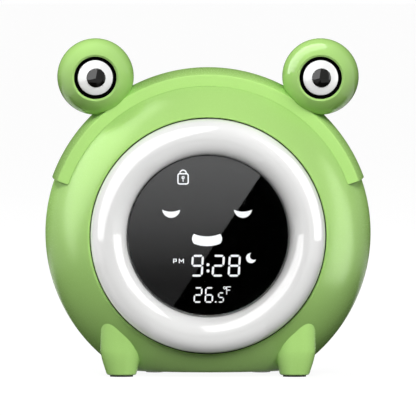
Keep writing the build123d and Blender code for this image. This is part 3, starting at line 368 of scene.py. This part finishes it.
def hoodSurface(size):
    # band section, an arc over the body's own curve with rounded creases, carried along an arc about
    # the body's axis; the first and last sections draw in toward the section's core to round the ends
    half, crease, crest = size["frontY"], size["crease"], size["crest"]
    arcRadius = (half ** 2 + (crest - crease) ** 2) / (2 * (crest - crease))
    across = np.linspace(-half, half, size["stations"])
    top = np.stack([crest - arcRadius + np.sqrt(arcRadius ** 2 - across ** 2), across], axis=1)
    depths = np.where(across < 0, body["depth"], size["rearDepth"])
    underRadius = (body["radius"] + size["clear"]) * np.sqrt(1 - (across / (depths + size["clear"])) ** 2)
    under = np.stack([underRadius, across], axis=1)[::-1]
    kept = [0, *range(size["edgeSkip"], len(top) - size["edgeSkip"]), len(top) - 1]
    outline = [tuple(p) for p in top[kept]] + [tuple(p) for p in under]
    rounding = [size["fillet"]] + [0] * (len(kept) - 2) + [size["fillet"]] + [0] * len(under)
    section = roundCorners(outline, rounding, steps=6)
    middle = (crest + crease) / 2 - size["core"]
    roll = np.linspace(0, math.pi / 2, size["rollSteps"])
    draw = size["endRound"] * (1 - np.sin(roll))
    lead = size["endRound"] * (1 - np.cos(roll)) / crest
    start = math.radians(size["start"])
    inner = np.linspace(start + lead[-1], math.pi - start - lead[-1], size["steps"])[1:-1]
    angle = np.concatenate([[start], start + lead, inner, math.pi - start - lead[::-1], [math.pi - start]])
    # the outermost sections draw in all the way, to one point
    drawn = np.concatenate([[half], draw, np.zeros(len(inner)), draw[::-1], [half]])
    radius = middle + (section[:, 0] - middle) * np.clip(1 - drawn / size["coreReach"], 0, 1)[:, None]
    depth = section[:, 1] * np.clip(1 - drawn / half, 0, 1)[:, None]
    points = np.stack([radius * np.cos(angle)[:, None], depth,
                       body["centre"][1] + radius * np.sin(angle)[:, None]], axis=-1)
    return points, gridQuads(points.shape[0], points.shape[1], False, True)


makePiece("hoodBand", *hoodSurface(hood), "hood_band")
print("hood band")

eye = {"angle": 54.49, "distance": 80.49, "y": -8.9, "radius": 15.9, "opening": 8.8, "bevel": 0.85,
       "bevelDepth": 0.62, "bevelEdge": 0.12, "wall": 2.0, "seam": 0.3, "firstAngle": 0.02,
       "stations": 60, "innerStations": 24, "cupFront": 9.9, "cupRim": 12.0, "cupWall": 0.3,
       "cupFloor": 0.6, "cupFillet": 0.5, "cupEdge": 0.1, "cupGap": 0.03, "whiteRadius": 7.3,
       "whiteRim": 1.3, "whiteDome": 1.3, "whiteEdge": 0.35, "whiteGap": 0.02, "pupilRadius": 3.96,
       "pupilRise": 0.7, "pupilRim": 0.05, "pupilEdge": 0.2, "pupilShift": 0.33, "pupilDepth": 1.6,
       "ballSteps": 160, "cupSteps": 128, "pupilSteps": 96}


def ballHalf(size, facing):
    # half of a hollow ball turned about the eye's axis: outer arc, rounded edge at the parting line,
    # and on the facing half a bevelled opening with a straight bore
    outerEnd = math.pi / 2
    if facing:
        outerEnd = math.acos((size["opening"] + size["bevel"]) / size["radius"])
    along = np.linspace(size["firstAngle"], outerEnd, size["stations"])
    outer = np.stack([size["radius"] * np.cos(along), size["radius"] * np.sin(along)], axis=1)
    innerRadius = size["radius"] - size["wall"]
    innerStart = math.acos(size["opening"] / innerRadius) if facing else math.pi / 2
    back = np.linspace(innerStart, 0, size["innerStations"])
    inner = np.stack([innerRadius * np.cos(back), innerRadius * np.sin(back)], axis=1)
    outline = [(size["radius"], 0), *outer]
    rounding = [size["seam"]] + [0] * (len(outer) - 1) + [size["bevelEdge"] if facing else 0]
    if facing:
        outline.append((size["opening"], outer[-1][1] - size["bevelDepth"]))
        rounding.append(size["bevelEdge"])
    outline += [*inner]
    rounding += [0] * len(inner)
    return roundCorners([tuple(p) for p in outline], rounding, steps=4)


def domed(radius, base, rim, crown, edge, stations=40):
    # low dome: spherical cap over a straight side with a rounded shoulder
    sag = crown - rim
    ball = (radius ** 2 + sag ** 2) / (2 * sag)
    across = np.linspace(0, radius - 2 * edge, stations)
    cap = np.stack([across, crown - ball + np.sqrt(ball ** 2 - across ** 2)], axis=1)
    outline = [tuple(p) for p in cap] + [(radius, rim), (radius, base), (0, base)]
    return roundCorners(outline, [0] * len(cap) + [edge, 0, 0], steps=6)


def placed(outline, flip=1):
    # heights above the eye's centre turned into depths along Y, toward the front or with flip -1 the back
    outline = np.array(outline, float)
    outline[:, 1] = eye["y"] - flip * outline[:, 1]
    return outline


for side, label in ((-1, "left"), (1, "right")):
    angle = math.radians(eye["angle"])
    spot = (side * eye["distance"] * math.cos(angle),
            body["centre"][1] + eye["distance"] * math.sin(angle))
    name = label.capitalize()
    makePiece("eyeBallFront" + name, *turned(placed(ballHalf(eye, True)), spot, eye["ballSteps"]),
              label + "_eye_front", sharp=30, look="eye_green")
    makePiece("eyeBallBack" + name, *turned(placed(ballHalf(eye, False), -1), spot, eye["ballSteps"]),
              label + "_eye_back", look="eye_green")
    # the near-black cup round the white is painted shade of the recess behind the opening
    cupRadius, cupBack = eye["opening"] - eye["cupGap"], eye["cupFront"] - eye["cupFloor"]
    cupOutline = [(0, eye["cupFront"]), (cupRadius - eye["cupWall"], eye["cupFront"]),
                  (cupRadius - eye["cupWall"], eye["cupRim"]), (cupRadius, eye["cupRim"]),
                  (cupRadius, cupBack), (0, cupBack)]
    cupRounding = [0, eye["cupFillet"], eye["cupEdge"], eye["cupEdge"], 0, 0]
    cupOutline = roundCorners(cupOutline, cupRounding, steps=5)
    makePiece("eyeCup" + name, *turned(placed(cupOutline), spot, eye["cupSteps"]), label + "_eye_cup")
    rim = eye["cupFront"] + eye["whiteRim"]
    crown = rim + eye["whiteDome"]
    white = domed(eye["whiteRadius"], eye["cupFront"] + eye["whiteGap"], rim, crown, eye["whiteEdge"])
    makePiece("eyeWhite" + name, *turned(placed(white), spot, eye["cupSteps"]), label + "_eye_white")
    pupil = domed(eye["pupilRadius"], crown - eye["pupilDepth"], crown - eye["pupilRim"],
                  crown + eye["pupilRise"], eye["pupilEdge"])
    pupilSpot = (spot[0] + eye["pupilShift"], spot[1])
    makePiece("pupil" + name, *turned(placed(pupil), pupilSpot, eye["pupilSteps"]), label + "_pupil")
print("eyes")

# steps round the black ring of painted gap shade, the ring and the lens
faceSteps = 256
# thin black ring in the gap between the body and the light ring: painted shade, a dark sheet where the gap
# only has shadow
gapShade = {"inner": 48.77, "outer": 49.08, "front": 23.9, "back": 21.1}
makePiece("ringSeal", *turned([(gapShade["inner"], -gapShade["front"]), (gapShade["outer"], -gapShade["front"]),
                               (gapShade["outer"], -gapShade["back"]), (gapShade["inner"], -gapShade["back"])],
                              body["centre"], faceSteps),
          "light_ring", look="mask_film", hides=False)

ring = {"inner": 33.8, "outer": 48.75, "front": 32.0, "wall": 2.0, "skirt": 17.7, "flange": 19.55,
        "flangeReach": 1.65, "flangeWall": 1.4, "lean": 0.75, "stations": 72, "thinning": 3}


def ringOutline(size):
    # half round tube open at the back: outer half circle whose crown leans outward, inner half circle,
    # skirt and flange
    middle = (size["inner"] + size["outer"]) / 2
    half = (size["outer"] - size["inner"]) / 2
    base = size["front"] - half
    over = np.linspace(0, math.pi, size["stations"])
    under = over[::-1][::size["thinning"]]
    outside = np.stack([middle + half * np.cos(over) + size["lean"] * np.sin(over) ** 2,
                        base + half * np.sin(over)], axis=1)
    inside = np.stack([middle + (half - size["wall"]) * np.cos(under),
                       base + (half - size["wall"]) * np.sin(under)], axis=1)
    flangeFront = size["flange"] + size["flangeWall"]
    outline = [*outside, (size["inner"], size["skirt"]), (size["inner"] + size["wall"], size["skirt"]),
               *inside, (size["outer"] - size["wall"], size["flange"]),
               (size["outer"] + size["flangeReach"], size["flange"]),
               (size["outer"] + size["flangeReach"], flangeFront), (size["outer"], flangeFront)]
    outline = np.array(outline, float)
    outline[:, 1] *= -1
    return outline


makePiece("lightRing", *turned(ringOutline(ring), body["centre"], faceSteps), "light_ring", sharp=50)

lens = {"radius": 33.42, "front": 19.83, "wall": 1.74, "edge": 0.4, "backEdge": 0.1, "margin": 0.05,
        "band": 0.3}
flat, lensBack = lens["radius"] - lens["edge"] - lens["margin"], lens["wall"] - lens["front"]
# the two extra rings near the edge keep the faces between them shaded flat
lensOutline = [(0, -lens["front"]), (flat - lens["band"], -lens["front"]), (flat, -lens["front"]),
               (lens["radius"], -lens["front"]), (lens["radius"], lensBack), (flat, lensBack),
               (flat - lens["band"], lensBack), (0, lensBack)]
lensOutline = roundCorners(lensOutline, [0, 0, 0, lens["edge"], lens["backEdge"], 0, 0, 0], steps=6)
makePiece("displayLens", *turned(lensOutline, body["centre"], faceSteps), "display_lens")
print("ring and lens")

button = {"names": ("time", "alarm", "sound", "light", "up", "down"), "columns": (4, 15, 26),
          "rows": (26, 15), "radius": 3.6, "top": 30.9, "flange": 4.5, "flangeFront": 27.0,
          "flangeBack": 25.9, "stem": 1.5, "stemEnd": 24.4, "edge": 0.55, "dish": 0.22, "dishMargin": 1.2,
          "dishSteps": 14, "roundings": (0, 0.3, 0.2, 0.15, 0.15, 0.1), "icon": 0.12, "sunk": 0.3,
          "line": 0.42, "boldLine": 0.55, "steps": 96}
buttonPlaces = [(row, column) for row in button["rows"] for column in button["columns"]]
buttonSpots = {name: (-column, body["centre"][1] + row) for name, (row, column) in
               zip(button["names"], buttonPlaces)}


def buttonOutline(size):
    # stem, flange and cap in one closed outline; the cap's top is dished by a shallow cosine
    across = np.linspace(size["radius"] - size["dishMargin"], 0, size["dishSteps"])
    dish = size["top"] - size["dish"] * (1 + np.cos(math.pi * across / across[0])) / 2
    outline = [(0, size["stemEnd"]), (size["stem"], size["stemEnd"]), (size["stem"], size["flangeBack"]),
               (size["flange"], size["flangeBack"]), (size["flange"], size["flangeFront"]),
               (size["radius"], size["flangeFront"]), (size["radius"], size["top"]),
               *[tuple(p) for p in np.stack([across, dish], axis=1)]]
    return roundCorners(outline, [*size["roundings"], size["edge"]] + [0] * len(across), steps=7)


for name, spot in buttonSpots.items():
    makePiece(name + "ButtonCap", *turned(buttonOutline(button), spot, button["steps"]),
              name + "_button", body=name + "_button")


def inkStroke(path, width, low, high):
    # flat bar of the given width along a path: each section is a rectangle square to the path, and the
    # two ends shrink to a point to close it
    path = np.asarray(path, float)
    along = np.gradient(path, axis=0)
    along /= np.linalg.norm(along, axis=1)[:, None]
    side = np.stack([-along[:, 1], along[:, 0]], axis=1) * width / 2
    loops = np.empty((len(path) + 2, 4, 3))
    for corner, (way, height) in enumerate(((1, low), (1, high), (-1, high), (-1, low))):
        loops[1:-1, corner, :2] = path + way * side
        loops[1:-1, corner, 2] = height
    loops[0] = loops[1].mean(axis=0)
    loops[-1] = loops[-2].mean(axis=0)
    return loops, gridQuads(len(loops), 4, False, True)


def inkFill(outline, low, high):
    # filled outline as a low prism: middle, edge below, edge above, middle
    outline = np.asarray(outline, float)
    middle = np.broadcast_to(outline.mean(axis=0), outline.shape)
    rows = np.stack([np.column_stack([flat, np.full(len(outline), height)]) for flat, height in
                     ((middle, low), (outline, low), (outline, high), (middle, high))])
    return rows, gridQuads(4, len(outline), False, True)


def inkArc(radius, first, last, centre=(0, 0), steps=25):
    # points of an arc from the first to the last angle in degrees
    angle = np.radians(np.linspace(first, last, steps))
    return np.stack([centre[0] + radius * np.cos(angle), centre[1] + radius * np.sin(angle)], axis=1)


def rearIcon(name, shapes, spot, top, node, body):
    # shapes drawn as seen from behind are joined into one piece on a rear surface
    points, faces, start = [], [], 0
    for shape, quads in shapes:
        flat = shape.reshape(-1, 3)
        points.append(np.stack([spot[0] - flat[:, 0], top + flat[:, 2], spot[1] + flat[:, 1]], axis=1))
        faces.append(quads + start)
        start += len(flat)
    makePiece(name, np.vstack(points), np.vstack(faces), node, body=body, look="icon_ink", hides=False)


line, bold = button["line"], button["boldLine"]
low, high = -button["sunk"], button["icon"] - button["dish"]
bell = np.vstack([inkArc(1.0, 180, 0, (0, 0.55)),
                  [(1.15, -0.75), (1.75, -1.2), (-1.75, -1.2), (-1.15, -0.75)]])
bar = inkStroke([(-1.5, 0), (0, 0), (1.5, 0)], bold, low, high)
horn = [(-1.9, 0.55), (-1.1, 0.55), (-0.1, 1.4), (-0.1, -1.4), (-1.1, -0.55), (-1.9, -0.55)]
icons = {
    "time": [inkStroke(inkArc(1.75, 0, 360, steps=49), line, low, high),
             inkStroke([(0, 0), (0, 0.6), (0, 1.2)], line, low, high),
             inkStroke([(-0.1, 0), (0.4, 0), (0.85, 0)], line, low, high)],
    "alarm": [inkFill(bell, low, high), inkFill(inkArc(0.42, 0, 360, (0, -1.65)), low, high),
              inkFill(inkArc(0.3, 0, 360, (0, 1.75)), low, high)],
    "sound": [inkFill(horn, low, high),
              inkStroke(inkArc(0.95, -48, 48, (0.1, 0)), line, low, high),
              inkStroke(inkArc(1.75, -48, 48, (0.1, 0)), line, low, high)],
    "light": [inkFill(inkArc(0.85, 0, 360), low, high)] +
             [inkStroke([(r * math.cos(a), r * math.sin(a)) for r in (1.25, 1.6, 1.95)], line, low, high)
              for a in np.arange(8) * math.pi / 4],
    "up": [bar, inkStroke([(0, -1.5), (0, 0), (0, 1.5)], bold, low, high)],
    "down": [bar],
}
for name, shapes in icons.items():
    rearIcon(name + "Icon", shapes, buttonSpots[name], button["top"], name + "_button", name + "_button")
print("buttons and icons")

view = {"aim": Vector((0, 0, 69.25)) * mm, "rise": 3.3, "lens": 1200, "width": 173.3 * mm}


def makeCamera(settings):
    # long lens on the front axis, raised by the stated angle, framed to the stated width at the aim
    camera = bpy.data.objects.new("camera", bpy.data.cameras.new("camera"))
    scene.collection.objects.link(camera)
    camera.data.lens = settings["lens"]
    distance = settings["width"] * settings["lens"] / camera.data.sensor_width
    rise = math.radians(settings["rise"])
    camera.location = settings["aim"] + Vector((0, -math.cos(rise), math.sin(rise))) * distance
    camera.rotation_euler = (math.pi / 2 - rise, 0, 0)
    camera.data.clip_start = distance / 2
    camera.data.clip_end = distance * 4
    scene.camera = camera


makeCamera(view)


# the middle of the clock, round which the lamps and cards are placed
middle = Vector((0, 0, 0.07))


def wayTo(off, turn):
    # off: degrees from the front axis, turn: degrees from the right as seen from the front; the way
    # out, and the sideways directions in which each of the two angles grows
    off, turn = math.radians(off), math.radians(turn)
    out = Vector((math.sin(off) * math.cos(turn), -math.cos(off), math.sin(off) * math.sin(turn)))
    wider = Vector((math.cos(off) * math.cos(turn), math.sin(off), math.cos(off) * math.sin(turn)))
    return out, wider, Vector((-math.sin(turn), 0, math.cos(turn)))


large, small = (0.34, 0.34), (0.15, 0.15)
# off, turn, metres from the middle, lamp size, watts
lamps = {"frontHigh": (35, 90, 1.0, large, 6.9), "sideLeft": (95, 150, 1.0, large, 2.93),
         "aboveLeft": (118, 115, 1.0, large, 4.4), "aboveRight": (118, 60, 1.0, large, 2.3),
         "frontRight": (55, 30, 1.0, large, 2.3), "left": (96, 176, 1.0, large, 1.3),
         "frontLeft": (45, 135, 1.0, small, 0.5), "rightLow": (60, -5, 0.28, (0.08, 0.1), 0.015)}
# the same, and the start of the names of the only pieces that the lamp lights
fills = {"ringLeft": ((95, 180, 1.0, large, 9.7), "lightRing"),
         "ringRight": ((35, 40, 1.0, large, 5.3), "lightRing"),
         "ringHigh": ((20, 90, 1.0, large, 3.6), "lightRing"),
         "ringTop": ((97, 75, 1.0, large, 2.9), "lightRing"),
         "legFill": ((30, 20, 1.0, (0.3, 0.3), 2.2), "leg"),
         "hoodFill": ((45, 58, 1.0, large, 2.7), "hood")}


def litPieces(source, starts, state):
    # the source lights only the pieces whose names start as given, or spares them
    group = bpy.data.collections.new(source.name + "_pieces")
    for piece in scene.objects:
        if piece.name.startswith(starts):
            group.objects.link(piece)
    for member in group.collection_objects:
        member.light_linking.link_state = state
    source.light_linking.receiver_collection = group


def hangLamp(name, off, turn, distance, size, power):
    # area lamp turned to the middle, that neither the camera nor reflections see
    lamp = bpy.data.lights.new(name, "AREA")
    lamp.shape = "RECTANGLE"
    lamp.size, lamp.size_y = size
    lamp.energy = power
    holder = bpy.data.objects.new(name, lamp)
    spot = middle + wayTo(off, turn)[0] * distance
    holder.location = spot
    holder.rotation_euler = (middle - spot).to_track_quat("-Z", "Y").to_euler()
    holder.visible_camera = False
    holder.visible_glossy = False
    scene.collection.objects.link(holder)
    return holder


# the ring has lamps of its own, and so has the hood in place of those above it
for name, settings in lamps.items():
    spared = ("lightRing", "hood") if name.startswith("above") else "lightRing"
    litPieces(hangLamp(name, *settings), spared, "EXCLUDE")
for name, (settings, starts) in fills.items():
    litPieces(hangLamp(name, *settings), starts, "INCLUDE")


def seenByEye(tree):
    # 1 for camera, glossy and transmitted rays, 0 for the rays that light things
    path = tree.nodes.new("ShaderNodeLightPath")
    total = path.outputs["Is Camera Ray"]
    for name in ("Is Glossy Ray", "Is Transmission Ray"):
        larger = tree.nodes.new("ShaderNodeMath")
        larger.operation = "MAXIMUM"
        tree.links.new(total, larger.inputs[0])
        tree.links.new(path.outputs[name], larger.inputs[1])
        total = larger.outputs[0]
    return total


world = bpy.data.worlds.new("studio")
scene.world = world
world.use_nodes = True
worldTree = world.node_tree
background = worldTree.nodes["Background"]
strength = worldTree.nodes.new("ShaderNodeMapRange")
skyLight, skySeen = 0.01, 1.0
strength.inputs["To Min"].default_value = skyLight
strength.inputs["To Max"].default_value = skySeen
worldTree.links.new(seenByEye(worldTree), strength.inputs["Value"])
worldTree.links.new(strength.outputs["Result"], background.inputs["Strength"])
background.inputs["Color"].default_value = (1, 1, 1, 1)


def makePanel(name, corners, material, faces=None):
    # flat or folded sheet of the stage; one face through all corners where no faces are given
    mesh = bpy.data.meshes.new(name)
    mesh.from_pydata([tuple(c) for c in corners], [], faces or [tuple(range(len(corners)))])
    panel = bpy.data.objects.new(name, mesh)
    panel.data.materials.append(material)
    scene.collection.objects.link(panel)
    return panel


floorLook = Shader("floor_look")
floorLook.tint(floorLook.noise(6), srgb(86, 86, 86), srgb(92, 92, 92))
floorLook.settle(Roughness=0.9, Specular_IOR_Level=0.1, Emission_Color=(1, 1, 1, 1))
glow = floorLook.add("ShaderNodeMath", operation="MULTIPLY")
floorLook.link(seenByEye(floorLook.tree), glow.inputs[0])
floorSeen = 0.93
glow.inputs[1].default_value = floorSeen
floorLook.link(glow.outputs[0], floorLook.surface.inputs["Emission Strength"])
reach = 1.2
makePanel("floor", [(-reach, -reach, 0), (reach, -reach, 0), (reach, 3 * reach, 0), (-reach, 3 * reach, 0)],
          floorLook.material)

# cards that the screen mirrors, in metres: a dark flag and over it a glow, bounded by a slanting edge,
# whose level follows the height through the steps of (height, level)
card = {"y": -0.16, "low": 0.010, "high": 0.095, "left": -0.042, "right": 0.042,
        "diagonal": (-0.0218, 0.035), "rampScale": 10, "full": 1.25,
        "glow": ((0.0302, 0.16), (0.0364, 0.237), (0.049, 0.54), (0.0615, 0.86), (0.080, 1.22))}


def makeCard(name, corners, glow=(), level=None, faces=None, lit=()):
    # studio card that only reflections see. With a glow its brightness follows the height, with a level
    # it is clear and as bright as that, and with neither it is a dark flag. Where pieces are named, only
    # they mirror it
    look = bpy.data.materials.new(name + "_look")
    look.use_nodes = True
    tree = look.node_tree
    tree.nodes.clear()
    output = tree.nodes.new("ShaderNodeOutputMaterial")
    emission = tree.nodes.new("ShaderNodeEmission")
    emission.inputs["Strength"].default_value = level or 0
    if level:
        both = tree.nodes.new("ShaderNodeAddShader")
        tree.links.new(tree.nodes.new("ShaderNodeBsdfTransparent").outputs[0], both.inputs[0])
        tree.links.new(emission.outputs[0], both.inputs[1])
        tree.links.new(both.outputs[0], output.inputs["Surface"])
    else:
        tree.links.new(emission.outputs[0], output.inputs["Surface"])
    if glow:
        place = tree.nodes.new("ShaderNodeTexCoord")
        split = tree.nodes.new("ShaderNodeSeparateXYZ")
        ramp = tree.nodes.new("ShaderNodeValToRGB")
        rise = tree.nodes.new("ShaderNodeMath")
        rise.operation = "MULTIPLY"
        rise.inputs[1].default_value = card["rampScale"]
        tree.links.new(place.outputs["Object"], split.inputs[0])
        tree.links.new(split.outputs["Z"], rise.inputs[0])
        tree.links.new(rise.outputs[0], ramp.inputs["Fac"])
        stops = ramp.color_ramp.elements
        while len(stops) < len(glow):
            stops.new(0.5)
        for stop, (height, amount) in zip(stops, glow):
            stop.position = height * card["rampScale"]
            stop.color = (*[amount / card["full"]] * 3, 1)
        tree.links.new(ramp.outputs["Color"], emission.inputs["Color"])
        emission.inputs["Strength"].default_value = card["full"]
    panel = makePanel(name, corners, look, faces)
    for ray in ("camera", "diffuse", "volume_scatter", "shadow"):
        setattr(panel, "visible_" + ray, False)
    if lit:
        litPieces(panel, lit, "INCLUDE")
    return panel


def upright(outline, depth):
    # corners of a card that stands square to the front axis
    return [(x, depth, z) for x, z in outline]


makeCard("screenFlag", upright(((card["left"], card["low"]), (card["right"], card["low"]),
                                (card["right"], card["high"]), (card["left"], card["high"])), card["y"]))
makeCard("screenGlow", upright(((card["left"], card["low"]), (card["diagonal"][0], card["low"]),
                                (card["diagonal"][1], card["high"]), (card["left"], card["high"])),
                               card["y"] + 0.001), card["glow"])

# low dark flags at both sides, which darken the reflections on the undersides
lowFlag = {"inner": 0.035, "outer": 0.2, "front": -0.3, "back": 0.1, "height": 0.0015}
for side, label in ((-1, "Left"), (1, "Right")):
    near, far = side * lowFlag["inner"], side * lowFlag["outer"]
    makeCard("flagLow" + label, [(near, lowFlag["front"], lowFlag["height"]),
                                 (far, lowFlag["front"], lowFlag["height"]),
                                 (far, lowFlag["back"], lowFlag["height"]),
                                 (near, lowFlag["back"], lowFlag["height"])])

# off, turn, metres from the middle, width and height, level; the last one is a dark flag behind the clock
softBoxes = {"boxLeft": (49.5, 139, 0.6, (0.86, 0.90), 6.0), "boxRight": (73, 20, 0.6, (0.78, 0.76), 6.0),
             "flagBehind": (180, 0, 0.35, (1.2, 1.2), None)}
for name, (off, turn, distance, (wide, tall), level) in softBoxes.items():
    out, wider, around = wayTo(off, turn)
    turn = math.radians(turn)
    sideways = wider * math.cos(turn) - around * math.sin(turn)
    upward = wider * math.sin(turn) + around * math.cos(turn)
    makeCard(name, [middle + out * distance + sideways * a * wide / 2 + upward * b * tall / 2
                    for a, b in ((-1, -1), (1, -1), (1, 1), (-1, 1))], level=level,
             lit=("lightRing", "pupil", "eyeWhite") if level else ())

# each strip is mirrored in an ellipsoid with the stated centre, radius and depth: middle and half width
# of its off angles, first and last turn, how slowly it narrows, distance, level, pieces
bodyRound = {"centre": (0, 0, 0.059), "radius": 0.06775, "depth": 0.036, "distance": 0.10,
             "narrowing": 0.8, "pieces": ("bodyFront",)}
strips = {"stripEye": {"centre": (0.0467, -0.0089, 0.1245), "radius": 0.0159, "depth": 0.0159,
                       "offs": (106, 18), "turns": (76, 200), "narrowing": 0.2, "distance": 0.30,
                       "level": 6.0, "pieces": ("eyeBallFrontRight", "eyeBallBackRight")},
          "stripLeft": {**bodyRound, "offs": (79, 18), "turns": (106, 192), "level": 10.0},
          "stripRight": {**bodyRound, "offs": (78, 14), "turns": (-62, 34), "level": 11.0}}


def stripCorners(strip, steps):
    # the two long edges of a strip, point by point
    corners = []
    middleOff, halfWidth = strip["offs"]
    squares = (strip["radius"] ** 2, strip["depth"] ** 2, strip["radius"] ** 2)
    for edge in (-1, 1):
        for turn, share in zip(np.linspace(*strip["turns"], steps), np.linspace(0, 1, steps)):
            # the half width follows a power of the sine, so that the strip narrows toward its ends
            off = middleOff + edge * halfWidth * max(math.sin(math.pi * share), 0) ** strip["narrowing"]
            # point of the ellipsoid whose normal halves the way out, then along that way
            out, normal = wayTo(off, turn)[0], wayTo(off / 2, turn)[0]
            root = math.sqrt(sum(n * n * k for n, k in zip(normal, squares)))
            spot = Vector([n * k / root for n, k in zip(normal, squares)])
            corners.append(Vector(strip["centre"]) + spot + out * strip["distance"])
    return corners


stripSteps = 24
stripFaces = [(n, n + 1, n + 1 + stripSteps, n + stripSteps) for n in range(stripSteps - 1)]
for name, strip in strips.items():
    makeCard(name, stripCorners(strip, stripSteps), level=strip["level"], faces=stripFaces,
             lit=strip["pieces"])

scene.view_settings.view_transform = "Standard"
print("stage set")
